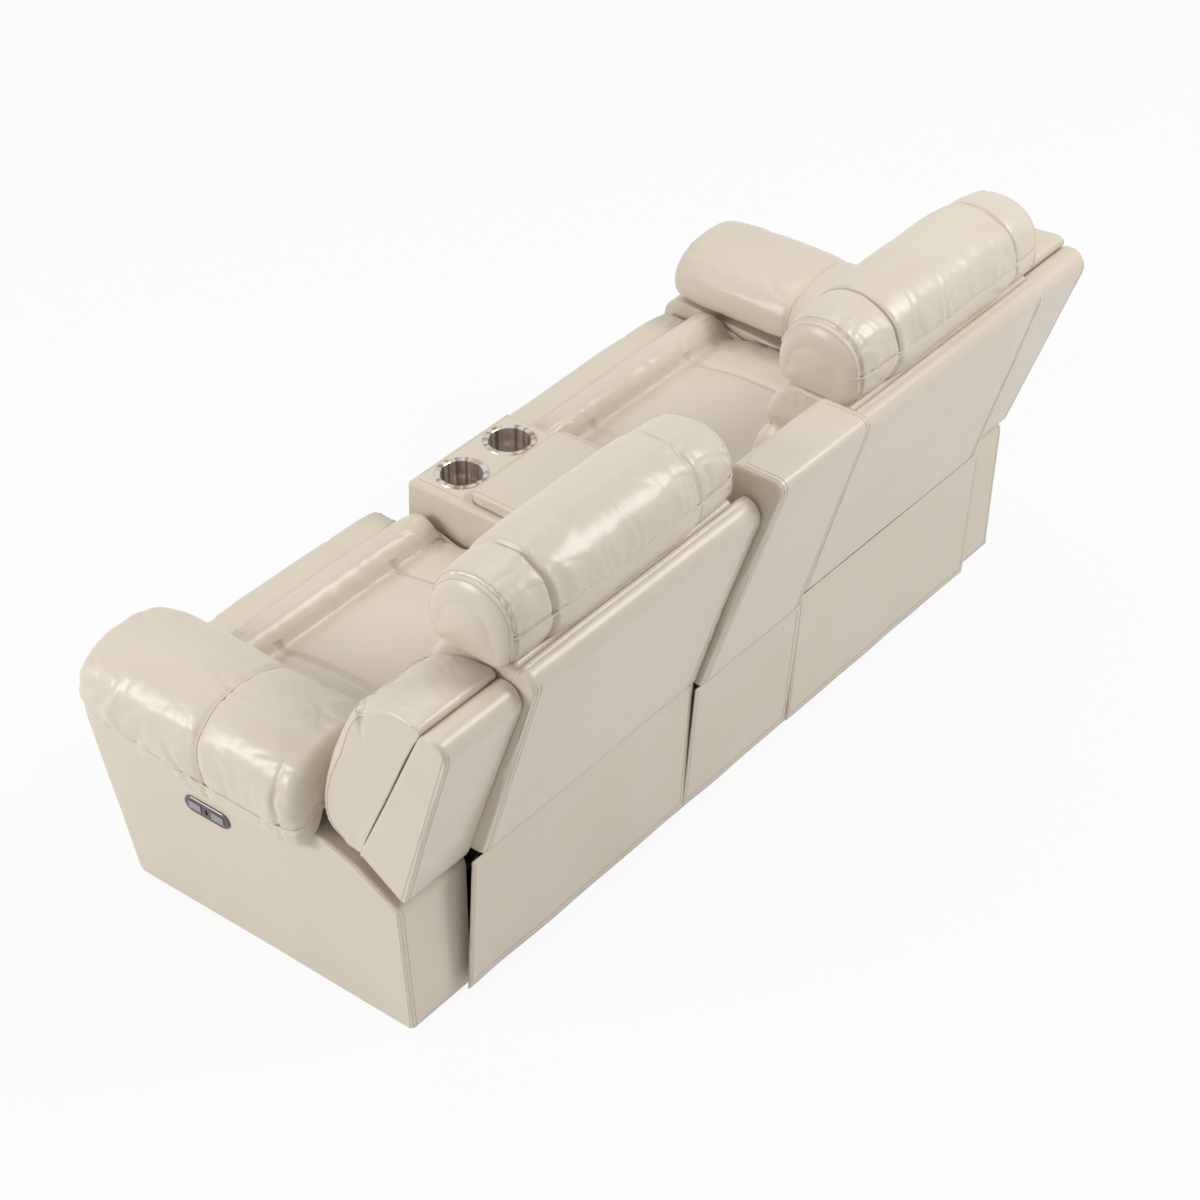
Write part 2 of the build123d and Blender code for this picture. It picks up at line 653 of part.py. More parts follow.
def centre_back_frame():
    """Plywood board that stands on the console and carries the centre back's cover."""
    foot, top = CONSOLE_STEP_Z, CENTRE_TOP_Z - 3 * CENTRE_WALL
    shift = CENTRE_WALL / cos(radians(CENTRE_TILT)) + SEAM_GAP
    board = FRAME_WALL / cos(radians(CENTRE_TILT))
    side = loop(
        (centre_rear(foot) - shift - board, foot), (centre_rear(foot) - shift, foot),
        (centre_rear(top) - shift, top), (centre_rear(top) - shift - board, top),
    )
    half = CENTRE_TOP_HALF - 2 * CENTRE_WALL
    return slab(side, -half, half)


def centre_skirt():
    """Skirt that hangs from the centre back down to near the floor."""
    top_y, top_z = centre_rear(CONSOLE_STEP_Z), CONSOLE_STEP_Z
    side = loop(
        (FLAP_FOOT_Y - FLAP_THICKNESS, FLAP_FOOT_Z), (FLAP_FOOT_Y, FLAP_FOOT_Z),
        (top_y, top_z), (top_y - FLAP_THICKNESS, top_z),
    )
    return slab(side, -CENTRE_FOOT_HALF, CENTRE_FOOT_HALF)


def seat_rails():
    """Front and rear wooden rails of the seat, on the side plates."""
    half = SEAT_RAIL_WIDTH / 2
    return [
        block(SEAT_INNER_X, SEAT_OUTER_X, y - half, y + half, SEAT_RAIL_FOOT_Z, SEAT_DECK_Z)
        for y in (SEAT_FRONT_RAIL_Y, SEAT_REAR_RAIL_Y)
    ]


def seat_springs():
    """Zigzag springs from the front seat rail to the rear one."""
    length = SEAT_REAR_RAIL_Y - SEAT_FRONT_RAIL_Y
    turns = int(length // SPRING_PITCH)
    gap = (SEAT_OUTER_X - SEAT_INNER_X) / (SPRING_COUNT + 1)
    springs = []
    for number in range(1, SPRING_COUNT + 1):
        x = SEAT_INNER_X + number * gap
        path = [(x, SEAT_FRONT_RAIL_Y)]
        for turn in range(turns):
            y = SEAT_FRONT_RAIL_Y + (turn + 0.5) * length / turns
            path.append((x + SPRING_SWING / 2 * (-1) ** turn, y))
        path.append((x, SEAT_REAR_RAIL_Y))
        wire = trace(Polyline(*path), line_width=SPRING_WIRE)
        springs.append(extrude(Plane.XY.offset(SEAT_DECK_Z) * wire, amount=SPRING_WIRE))
    return springs


def seat_cushion():
    """Seat cushion with a front roll, crowned and drawn in at both ends."""
    foot = SEAT_DECK_Z + SPRING_WIRE + SEAM_GAP
    front, rear = SEAT_FRONT_RAIL_Y - 27, SEAT_REAR_RAIL_Y + 34
    full = [
        (rear, foot), (rear - 4, foot + 60), (-95, foot + 84), (front + 84, foot + 60), (front + 70, foot + 92),
        (front + 39, foot + 107), (front + 8, foot + 91), (front, foot + 54), (front + 5, foot),
    ]
    drawn = [
        (rear - 5, foot), (rear - 9, foot + 46), (-95, foot + 55), (front + 84, foot + 46), (front + 68, foot + 66),
        (front + 39, foot + 76), (front + 14, foot + 66), (front + 6, foot + 40), (front + 9, foot),
    ]
    sections = []
    for x, share in soft_stations(SEAT_INNER_X + 2, SEAT_OUTER_X - 2):
        p = mix(full, drawn, share)
        sections.append((x, loop(p[0], p[1], (p[2], p[3]), (p[4], p[5]), (p[6], p[7]), p[8])))
    return skin(sections)


def soft_stations(x0, x1):
    """Places across a cushion, each with its fullness: drawn in at the ends, full in the middle."""
    turns = [pi * step / SOFT_STEPS for step in range(SOFT_STEPS + 1)]
    return [((x0 + x1) / 2 - (x1 - x0) / 2 * cos(turn), abs(sin(turn)) ** 0.6) for turn in turns]


def back_shell():
    """Rear cover of the back: rear wall, sides and rolled top, open in front and underneath."""
    foot, top = BACK_FOOT[1], BACK_TOP_Z
    side = rounded(
        [
            (lean(SHELL_DEPTH, foot), foot), (lean(SHELL_DEPTH, top), top),
            (lean(0, top), top), (lean(0, foot), foot),
        ],
        [0, 0, 22, 0],
    )
    body = slab(side, BACK_INNER_X, BACK_OUTER_X)
    front = body.faces().filter_by(lambda face: face.normal_at().Y < -0.9)
    open_faces = [body.faces().sort_by(Axis.Z)[0], front.sort_by(SortBy.AREA)[-1]]
    return offset(body, amount=-SHELL_WALL, openings=open_faces)


def bracket_x():
    """X of the inner faces of the two back brackets."""
    return SEAT_X - INNER_PLANE, SEAT_X + INNER_PLANE


def back_frame():
    """Ladder frame of the back: two stiles beside the brackets and four rungs."""
    foot, top = BACK_FOOT[1] + SHELL_WALL, BACK_TOP_Z - 3 * SHELL_WALL
    rear = SHELL_WALL / cos(radians(BACK_TILT)) + SEAM_GAP
    side = loop(
        (lean(SHELL_DEPTH, foot), foot), (lean(rear, foot), foot),
        (lean(rear, top), top), (lean(SHELL_DEPTH, top), top),
    )
    x0, x1 = bracket_x()
    pieces = [slab(side, x0, x0 + STILE_WIDTH), slab(side, x1 - STILE_WIDTH, x1)]
    for number in range(RUNG_COUNT):
        low = foot + number * (top - foot - RUNG_HEIGHT) / (RUNG_COUNT - 1)
        high = low + RUNG_HEIGHT
        face = loop(
            (lean(SHELL_DEPTH, low), low), (lean(SHELL_DEPTH - RUNG_DEPTH, low), low),
            (lean(SHELL_DEPTH - RUNG_DEPTH, high), high), (lean(SHELL_DEPTH, high), high),
        )
        pieces.append(slab(face, x0 + STILE_WIDTH, x1 - STILE_WIDTH))
    return pieces


def back_cushion():
    """Front cushion of the back, fuller at the small of the back."""
    foot, top = BACK_CUSHION_FOOT_Z, BACK_TOP_Z
    rear = SHELL_DEPTH + SEAM_GAP
    full = [
        (lean(rear, foot), foot), (lean(218, foot), foot), (lean(244, foot + 105), foot + 105),
        (lean(236, foot + 225), foot + 225), (lean(236, foot + 310), foot + 310), (lean(214, top), top),
        (lean(rear, top), top),
    ]
    drawn = [
        (lean(rear, foot), foot), (lean(190, foot), foot), (lean(205, foot + 105), foot + 105),
        (lean(200, foot + 225), foot + 225), (lean(198, foot + 310), foot + 310), (lean(182, top), top),
        (lean(rear, top), top),
    ]
    sections = []
    for x, share in soft_stations(BACK_INNER_X + 2, BACK_OUTER_X - 2):
        p = mix(full, drawn, share)
        sections.append((x, loop(p[0], p[1], (p[2], p[3]), (p[4], p[5]), p[6])))
    return skin(sections)


def headrest():
    """Headrest roll across the top of the back, drawn in to an arch at each end."""
    foot = BACK_TOP_Z + SEAM_GAP
    rear_foot = lean(58, foot)
    full = [
        (rear_foot, foot), (rear_foot + 26, foot + 70), (rear_foot + 2, foot + 136), (rear_foot - 76, foot + 170),
        (rear_foot - 140, foot + 141), (rear_foot - 183, foot + 83), (rear_foot - 185, foot + 40),
        (rear_foot - 162, foot),
    ]
    arch = [
        (rear_foot - 10, foot), (rear_foot - 14, foot + 70), (rear_foot - 28, foot + 106), (rear_foot - 82, foot + 118),
        (rear_foot - 126, foot + 99), (rear_foot - 148, foot + 62), (rear_foot - 155, foot + 32),
        (rear_foot - 159, foot),
    ]
    width = HEADREST_OUTER_X - HEADREST_INNER_X
    stations = [(0, -0.5), (0.02, 0), (0.2, 1), (0.5, 1.06), (0.8, 1), (0.98, 0), (1, -0.5)]
    sections = []
    for part, share in stations:
        p = mix(full, arch, share)
        face = loop(p[0], p[1], (p[2], p[3]), (p[4], p[5]), (p[6], p[7]))
        sections.append((HEADREST_INNER_X + part * width, face))
    return skin(sections)


def wing_front(z, gap=0):
    """Y of the wing shell's front edge at a height, or of a point a little in front of it."""
    share = (z - WING_FOOT_FRONT[1]) / (WING_TOP_FRONT[1] - WING_FOOT_FRONT[1])
    return WING_FOOT_FRONT[0] + share * (WING_TOP_FRONT[0] - WING_FOOT_FRONT[0]) - gap


def wing_shell():
    """Outer shell of the wing: side, rear, top and foot walls, open towards its pad."""
    corners = [WING_FOOT_FRONT, WING_TOP_FRONT, WING_TOP_REAR, WING_FOOT_REAR]
    side = rounded(corners, [0, 10, 18, 10])
    inner_x = BACK_OUTER_X + SEWN_GAP
    hollow = Polyline(*inset(corners, [-SHELL_WALL, SHELL_WALL, SHELL_WALL, SHELL_WALL]), close=True)
    return slab(side, inner_x, WING_OUTER_X) - slab(
        make_face(hollow), inner_x + SHELL_WALL, WING_OUTER_X - SHELL_WALL
    )


def wing_pad():
    """Stuffed bolster on the front of the wing."""
    foot, top = WING_FOOT_FRONT[1] + 6, WING_TOP_FRONT[1] - 4
    y = WING_FOOT_FRONT[0]
    full = [
        (wing_front(foot, SEAM_GAP), foot), (y - 50, foot + 14), (y - 86, foot + 26), (y - 70, foot + 150),
        (y - 22, foot + 262), (y + 16, foot + 340), (y + 84, foot + 385), (y + 138, foot + 384),
        (wing_front(top, SEAM_GAP), top),
    ]
    drawn = [
        (wing_front(foot, SEAM_GAP), foot), (y - 34, foot + 16), (y - 58, foot + 34), (y - 38, foot + 150),
        (y + 6, foot + 254), (y + 46, foot + 322), (y + 100, foot + 362), (y + 140, foot + 370),
        (wing_front(top, SEAM_GAP), top),
    ]
    sections = []
    x0, x1 = BACK_OUTER_X + 4, WING_OUTER_X - 3
    for x, share in soft_stations(x0, x1):
        p = mix(full, drawn, share)
        sections.append((x, loop(p[0], (p[1], p[2]), (p[3], p[4]), (p[5], p[6]), (p[7], p[8]))))
    return skin(sections)


def back_brackets():
    """Steel brackets from the frame of the back to its pivots, with the slotted drive arm below."""
    seats = [(lean(SHELL_DEPTH / 2, z), z) for z in (BACK_FOOT[1] + 30, BACK_FOOT[1] + 100)]
    outline = [disc(BACK_PIVOT, 20)] + [disc(seat, 13) for seat in seats]
    plate = make_hull([edge for face in outline for edge in face.edges()])
    slot_near = RECLINE_LEVER * cos(radians(RECLINE / 2)) - RUN_FIT
    arm_end = below(BACK_PIVOT, RECLINE_LEVER, -RECLINE / 2)
    plate = plate + strip(BACK_PIVOT, arm_end, LEVER_WIDTH)
    slot = strip(
        below(BACK_PIVOT, slot_near, -RECLINE / 2), arm_end, 2 * (DRIVE_PIN_RADIUS + DRIVE_PIN_PLAY / 2)
    )
    plate = plate - slot - disc(BACK_PIVOT, LINK_PIN_RADIUS + RUN_FIT)
    return both_sides(plate, INNER_PLANE, INNER_PLANE + PLATE)


def rivet(point, outer):
    """Pin from an outer plane through the inner links, with a head on the inner side."""
    head_far = INNER_PLANE - SEAM_GAP
    return [
        both_sides(disc(point, LINK_PIN_RADIUS), head_far - PIN_HEAD / 2, outer),
        both_sides(disc(point, PIN_HEAD_RADIUS), head_far - PIN_HEAD, head_far),
        both_sides(disc(point, PIN_HEAD_RADIUS), INNER_PLANE + PLATE + SEAM_GAP, outer),
    ]


def side_plates():
    """Side plates of the mechanism with guide slots and pivots, and the tube that joins them."""
    outline = loop(
        (SWING_PIVOT[0] - 20, RAIL_TOP_Z), (REAR_RAIL_Y + 20, RAIL_TOP_Z),
        (BACK_PIVOT[0] + 26, BACK_PIVOT[1] - 20), (BACK_PIVOT[0] + 20, BACK_PIVOT[1] + 24),
        (SEAT_REAR_RAIL_Y + SEAT_RAIL_WIDTH / 2, SEAT_RAIL_FOOT_Z), (SWING_PIVOT[0] - 20, SEAT_RAIL_FOOT_Z),
    )
    low, high = RAIL_TOP_Z + WINDOW_MARGIN, DRIVE_Z - WINDOW_MARGIN / 2
    windows = [
        rounded([(y, low), (y, high), (y + WINDOW_LENGTH, high), (y + WINDOW_LENGTH, low)], [WINDOW_CORNER] * 4)
        for y in (SWING_PIVOT[0] + 1.5 * WINDOW_MARGIN, CROSS_TUBE_Y - WINDOW_MARGIN - WINDOW_LENGTH)
    ]
    guide = strip(
        (LOWER_GUIDE[0], LOWER_GUIDE[1] - SEAM_GAP), (GUIDE_TOP[0], GUIDE_TOP[1] + SEAM_GAP),
        2 * (LINK_PIN_RADIUS + SLIDE_FIT),
    )
    face = make_face(outline.edges()) - windows - guide
    groups = [both_sides(face, PLATE_OFFSET, PLATE_OFFSET + PLATE)]
    groups += rivet(SWING_PIVOT, PLATE_OFFSET) + rivet(BACK_PIVOT, PLATE_OFFSET)
    plates = fuse_sides(groups)
    tube = disc((CROSS_TUBE_Y, DRIVE_Z), CROSS_TUBE_RADIUS)
    tube = tube - disc((CROSS_TUBE_Y, DRIVE_Z), CROSS_TUBE_RADIUS - TUBE_WALL)
    return [*plates, slab(tube, SEAT_X - PLATE_OFFSET, SEAT_X + PLATE_OFFSET)]


def swing_links():
    """Bell cranks that carry the leg rest; the drive pushes their slotted levers."""
    lever_near = LEVER * cos(radians(FOLD_TURN / 2)) - RUN_FIT
    face = strip(SWING_PIVOT, SWING_END, LINK_WIDTH) + strip(SWING_PIVOT, DRIVE_PIN, LEVER_WIDTH)
    for point in (SWING_PIVOT, FIRST_CROSSING, SWING_END):
        face = face - disc(point, LINK_PIN_RADIUS + RUN_FIT)
    slot = strip(below(SWING_PIVOT, lever_near, -FOLD_TURN / 2), DRIVE_PIN, 2 * (DRIVE_PIN_RADIUS + DRIVE_PIN_PLAY))
    return both_sides(face - slot, INNER_PLANE, INNER_PLANE + PLATE)


def cross_links():
    """Links that run in the side plates' guides and cross the swing links."""
    plates = both_sides(strip(LOWER_GUIDE, CROSS_END, LINK_WIDTH), OUTER_PLANE, OUTER_PLANE + PLATE)
    groups = [plates] + rivet(FIRST_CROSSING, OUTER_PLANE + PLATE) + rivet(CROSS_END, OUTER_PLANE + PLATE)
    groups.append(both_sides(disc(LOWER_GUIDE, LINK_PIN_RADIUS), OUTER_PLANE, PLATE_OFFSET + PLATE))
    return fuse_sides(groups)


def short_links():
    """Links from the ends of the swing links up to the leg-rest arms."""
    plates = both_sides(strip(SWING_END, SECOND_CROSSING, LINK_WIDTH), OUTER_PLANE, OUTER_PLANE + PLATE)
    return fuse_sides(
        [plates] + rivet(SWING_END, OUTER_PLANE + PLATE) + rivet(SECOND_CROSSING, OUTER_PLANE + PLATE)
    )


def legrest_arms():
    """Plates that carry the leg-rest board on the cross and short links."""
    edge = 5
    top, low = SWING_PIVOT[1] + 8, SECOND_CROSSING[1] - 28
    corners = [(legrest(0, z)[0] + edge, z) for z in (low, top)]
    outline = [disc(point, LINK_WIDTH / 2) for point in (CROSS_END, SECOND_CROSSING)]
    outline += [disc(point, edge) for point in corners]
    plate = make_hull([curve for face in outline for curve in face.edges()])
    for point in (CROSS_END, SECOND_CROSSING):
        plate = plate - disc(point, LINK_PIN_RADIUS + RUN_FIT)
    board_side = loop(legrest(0, low - 40), legrest(0, top + 40), legrest(60, top + 40), legrest(60, low - 40))
    plate = plate - board_side
    flange = loop(legrest(0, low), legrest(0, top), legrest(-PLATE, top), legrest(-PLATE, low))
    return fuse_sides(
        [
            both_sides(plate, INNER_PLANE, INNER_PLANE + PLATE),
            both_sides(flange, INNER_PLANE - FLANGE_WIDTH, INNER_PLANE + PLATE / 2),
        ]
    )


def legrest_board():
    """Plywood board of the leg rest."""
    low, top = LEGREST_FOOT_Z, LEGREST_TOP_Z
    face = loop(
        legrest(0, low), legrest(0, top), legrest(LEGREST_BOARD, top), legrest(LEGREST_BOARD, low)
    )
    gap = 2.5 * LEGREST_SIDE_GAP
    return slab(face, SEAT_INNER_X + gap, SEAT_OUTER_X - gap)


def legrest_pad():
    """Stuffed pad of the leg rest, rolled back over the top of its board."""
    seat, low, top = LEGREST_BOARD + SEAM_GAP, LEGREST_FOOT_Z, LEGREST_TOP_Z + SEAM_GAP
    face = LEGREST_BOARD + LEGREST_PAD
    full = [
        legrest(seat, low), legrest(face - 20, low - 6), legrest(face + 8, 230), legrest(face - 2, top - 34),
        legrest(face - 16, top + 7), legrest(30, top + 18), legrest(2, top + 17), legrest(-20, top + 2),
        legrest(-18, top), legrest(seat, top),
    ]
    drawn = [
        legrest(seat, low + 4), legrest(face - 36, low + 4), legrest(face - 16, 230), legrest(face - 22, top - 40),
        legrest(face - 34, top - 6), legrest(26, top + 8), legrest(2, top + 8), legrest(-14, top + 1),
        legrest(-13, top), legrest(seat, top),
    ]
    sections = []
    x0, x1 = SEAT_INNER_X + LEGREST_SIDE_GAP, SEAT_OUTER_X - LEGREST_SIDE_GAP
    for x, share in soft_stations(x0, x1):
        p = mix(full, drawn, share)
        face_at = loop(p[0], p[1], (p[2], p[3]), (p[4], p[5]), (p[6], p[7]), p[8], p[9])
        sections.append((x, face_at))
    return skin(sections)


def drive_motor():
    """Linear drive: gear housing on the cross tube, motor beside it and the tube for the rod."""
    y0, y1 = HOUSING_FRONT_Y, HOUSING_FRONT_Y + HOUSING_LENGTH
    half_w, half_h = HOUSING_WIDTH / 2, HOUSING_HEIGHT / 2
    housing = block(SEAT_X - half_w, SEAT_X + half_w, y0, y1, DRIVE_Z - half_h, DRIVE_Z + half_h)
    housing = fillet(housing.edges().filter_by(Axis.Y), 10)
    lug_half, lug_radius = LUG_WIDTH / 2, CROSS_TUBE_RADIUS + LUG_WALL
    lug = slab(disc((CROSS_TUBE_Y, DRIVE_Z), lug_radius), SEAT_X - lug_half, SEAT_X + lug_half)
    lug = lug + block(
        SEAT_X - lug_half, SEAT_X + lug_half, y1 - 1, CROSS_TUBE_Y, DRIVE_Z - lug_radius, DRIVE_Z + lug_radius
    )
    motor = slab(disc((y0 + HOUSING_LENGTH / 2, DRIVE_Z), MOTOR_RADIUS), SEAT_X, SEAT_X + half_w + MOTOR_LENGTH)
    tube = bar(Pos(SEAT_X, DRIVE_Z) * Circle(ACTUATOR_RADIUS), ACTUATOR_FRONT_Y, y0 + 1)
    body = housing + lug + motor + tube
    body = body - slab(disc((CROSS_TUBE_Y, DRIVE_Z), CROSS_TUBE_RADIUS), SEAT_X - lug_half, SEAT_X + lug_half)
    return body - bar(Pos(SEAT_X, DRIVE_Z) * Circle(ROD_RADIUS + SLIDE_FIT), ACTUATOR_FRONT_Y, y0 - 10)


def drive_rod():
    """Sliding rod with the cross tube and the two push bars that turn the links and the back."""
    far = ACTUATOR_FRONT_Y + DRIVE_TRAVEL + ROD_INSIDE
    rod = bar(Pos(SEAT_X, DRIVE_Z) * Circle(ROD_RADIUS), DRIVE_PIN[0], far)
    tube = slab(disc(DRIVE_PIN, DRIVE_TUBE_RADIUS), SEAT_X - PUSH_PLANE, SEAT_X + PUSH_PLANE)
    groups = [both_sides(strip(DRIVE_PIN, RECLINE_PIN, PUSH_BAR_WIDTH), PUSH_PLANE, PUSH_PLANE + PUSH_BAR)]
    for point in (DRIVE_PIN, RECLINE_PIN):
        groups.append(both_sides(disc(point, DRIVE_PIN_RADIUS), PUSH_PLANE, INNER_PLANE + PLATE + PLANE_GAP / 2))
    return [rod + tube, *fuse_sides(groups)]


def rear_flap():
    """Flap that hangs from the lower edge of the back to near the floor."""
    top_y, top_z = BACK_FOOT[0], BACK_FOOT[1] - SEAM_GAP
    side = loop(
        (FLAP_FOOT_Y - FLAP_THICKNESS, FLAP_FOOT_Z), (FLAP_FOOT_Y, FLAP_FOOT_Z),
        (top_y, top_z), (top_y - FLAP_THICKNESS, top_z),
    )
    return slab(side, CONSOLE_FOOT_HALF + FLAP_SIDE_GAP, ARM_INNER_X + FLAP_OVERLAP)


# Base
write("base_rails", *base_rails())
write("dust_cover", dust_cover())
write_both("feet", *feet())
write_both("arm_frames", *arm_frame())
write_pair("arm_cover", arm_cover())
write_pair("arm_pillow", arm_pillow())
write_both("switch_bezels", switch_bezel())
write_pair("recline_button", switch_button(BUTTON_PITCH / 2))
write_pair("return_button", switch_button(-BUTTON_PITCH / 2))

# Console and centre back
write("console_cover", console_cover())
write("console_frame", console_frame())
write("power_supply", power_supply())
write_both("cup_holders", cup_holder())
write("lid_hinge_base", lid_hinge_base())
write("lid_hinge_leaf", lid_hinge_leaf())
write("lid_board", lid_board())
write("lid_pad", lid_pad())
write("centre_back_cover", centre_back_cover())
write("centre_back_frame", centre_back_frame())
write("centre_skirt", centre_skirt())

# Seats
write_both("seat_rails", *seat_rails())
write_both("seat_springs", *seat_springs())
write_pair("seat_cushion", seat_cushion())
write_both("side_plates", *side_plates())
write_both("drive_motors", drive_motor())
write_pair("rear_flap", rear_flap())

# Backs
write_pair("back_shell", back_shell())
write_pair("back_frame", *back_frame())
write_pair("back_cushion", back_cushion())
write_pair("headrest", headrest())
write_pair("wing_shell", wing_shell())
write_pair("wing_pad", wing_pad())
write_pair("back_brackets", *back_brackets())

# Leg rests and their drives
write_pair("swing_links", *swing_links())
write_pair("cross_links", *cross_links())
write_pair("short_links", *short_links())
write_pair("legrest_arms", *legrest_arms())
write_pair("legrest_board", legrest_board())
write_pair("legrest_pad", legrest_pad())
write_pair("drive_rod", *drive_rod())
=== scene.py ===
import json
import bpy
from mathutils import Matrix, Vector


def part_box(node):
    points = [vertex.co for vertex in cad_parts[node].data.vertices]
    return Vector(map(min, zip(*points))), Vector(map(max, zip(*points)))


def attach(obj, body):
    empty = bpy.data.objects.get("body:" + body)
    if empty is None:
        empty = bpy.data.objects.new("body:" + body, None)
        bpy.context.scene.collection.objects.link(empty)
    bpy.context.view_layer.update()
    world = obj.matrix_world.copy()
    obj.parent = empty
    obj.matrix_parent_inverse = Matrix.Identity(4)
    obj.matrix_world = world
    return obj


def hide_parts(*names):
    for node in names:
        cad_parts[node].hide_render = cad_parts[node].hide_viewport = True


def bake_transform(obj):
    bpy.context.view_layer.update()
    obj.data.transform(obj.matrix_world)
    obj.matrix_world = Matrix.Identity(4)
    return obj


bl_info = {
    "name": "Power reclining console loveseat",
    "version": (1, 0, 0),
    "blender": (4, 5, 0),
    "location": "View3D > Sidebar > Loveseat",
    "description": "Upholstery, finishes and studio round the loveseat's frame",
    "category": "Object",
}

from math import acos, cos, exp, pi, radians, sin, sqrt, tan

import bmesh
import bpy
from bpy.props import FloatProperty, FloatVectorProperty, PointerProperty
from mathutils import Matrix, Vector, noise
from mathutils.bvhtree import BVHTree

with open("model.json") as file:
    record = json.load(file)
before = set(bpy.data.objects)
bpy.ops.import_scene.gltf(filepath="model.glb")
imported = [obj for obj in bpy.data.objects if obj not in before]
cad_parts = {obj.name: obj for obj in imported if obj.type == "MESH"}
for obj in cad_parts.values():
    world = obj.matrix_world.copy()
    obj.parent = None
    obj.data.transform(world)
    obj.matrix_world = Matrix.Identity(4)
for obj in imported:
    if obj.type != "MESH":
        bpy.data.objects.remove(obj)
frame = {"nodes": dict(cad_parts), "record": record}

MM = 0.001
SIDES = (("left", 1), ("right", -1))
CUP_X, CUP_Y = 0.073, -0.322  # axes of the two cups
CUP_FLOOR_Z = 0.422  # just above the floor of the cups
CUP_RADIUS = 42 * MM
CAP = 0.1  # share of a cover's length that closes each of its ends


def srgb(code):
    """Linear colour of a six-figure hex code."""
    parts = [int(code[k:k + 2], 16) / 255 for k in (0, 2, 4)]
    return tuple(p / 12.92 if p <= 0.04045 else ((p + 0.055) / 1.055) ** 2.4 for p in parts)


def length(name, words, default):
    """Length property in metres."""
    return FloatProperty(name=name, description=words, default=default, unit="LENGTH")


def colour(name, words, code):
    """Colour property from a hex code."""
    return FloatVectorProperty(name=name, description=words, default=srgb(code), size=3, subtype="COLOR")


class LoveseatSizes(bpy.types.PropertyGroup):
    stitch_pitch: length("Stitch pitch", "From one stitch to the next", 0.0058)
    stitch_length: length("Stitch length", "Length of one stitch", 0.0042)
    thread: length("Thread", "Width of the thread", 0.0011)
    welt: length("Welt", "Radius of the cord sewn into a seam", 0.0018)
    pucker: length("Pucker", "Height of the folds beside a gathered seam", 0.0024)
    slack: length("Slack", "Height of the slow waves of a loose cover", 0.0022)
    flap: length("Flap", "Thickness of the hanging flaps", 0.0024)
    lens: FloatProperty(name="Lens", description="Focal length", default=94.3, unit="CAMERA")


class LoveseatColours(bpy.types.PropertyGroup):
    leather: colour("Leather", "Ivory cover", "DAD0BF")
    leather_deep: colour("Leather, deep", "Ivory cover where it is worn smooth", "D2C7B4")
    thread: colour("Thread", "Tone-on-tone thread", "C4B9A6")
    plywood: colour("Plywood", "Raw plywood", "C9A877")
    black: colour("Black", "Painted steel, stained rails and moulded plastic", "1B1B1D")
    cloth: colour("Cloth", "Dust cover", "121212")
    steel: colour("Steel", "Polished cups", "D2CCC5")
    zinc: colour("Zinc", "Plated hinge", "8F8F90")
    # painted reflection: brown streaks painted on the steel of the cups' walls
    painted_reflection: colour("Streak", "Brown reflections in the cups", "96816E")
    bezel: colour("Bezel", "Dark anodised switch plate", "6A6264")
    button: colour("Button", "Grey buttons", "9A9596")
    floor: colour("Floor", "Pale studio floor", "E6E6E6")


# Materials

def add(tree, kind, *values, **named):
    """Adds a node. Values go to its inputs in order, capitalised names to inputs, others to settings."""
    node = tree.nodes.new(kind)
    for name, value in named.items():
        if name.islower():
            setattr(node, name, value)
    chosen = [(node.inputs[name.replace("_", " ")], named[name]) for name in named if not name.islower()]
    for socket, value in [*zip(node.inputs, values), *chosen]:
        if isinstance(value, bpy.types.NodeSocket):
            tree.links.new(value, socket)
        else:
            socket.default_value = value
    return node


def shown(tree):
    """Socket that is 1 where the camera sees a surface, also in metal or through glass."""
    rays = add(tree, "ShaderNodeLightPath").outputs
    direct = add(tree, "ShaderNodeMath", rays["Is Camera Ray"], rays["Is Glossy Ray"], operation="MAXIMUM")
    every = add(tree, "ShaderNodeMath", direct.outputs[0], rays["Is Transmission Ray"], operation="MAXIMUM")
    return every.outputs[0]


def finish(name, tint, rough, metallic=0.0):
    """Plain material; returns it with its node tree and surface shader."""
    material = bpy.data.materials.new(name)
    material.use_nodes = True
    tree = material.node_tree
    surface = tree.nodes["Principled BSDF"]
    surface.inputs["Base Color"].default_value = (*tint, 1)
    surface.inputs["Roughness"].default_value = rough
    surface.inputs["Metallic"].default_value = metallic
    return material, tree, surface


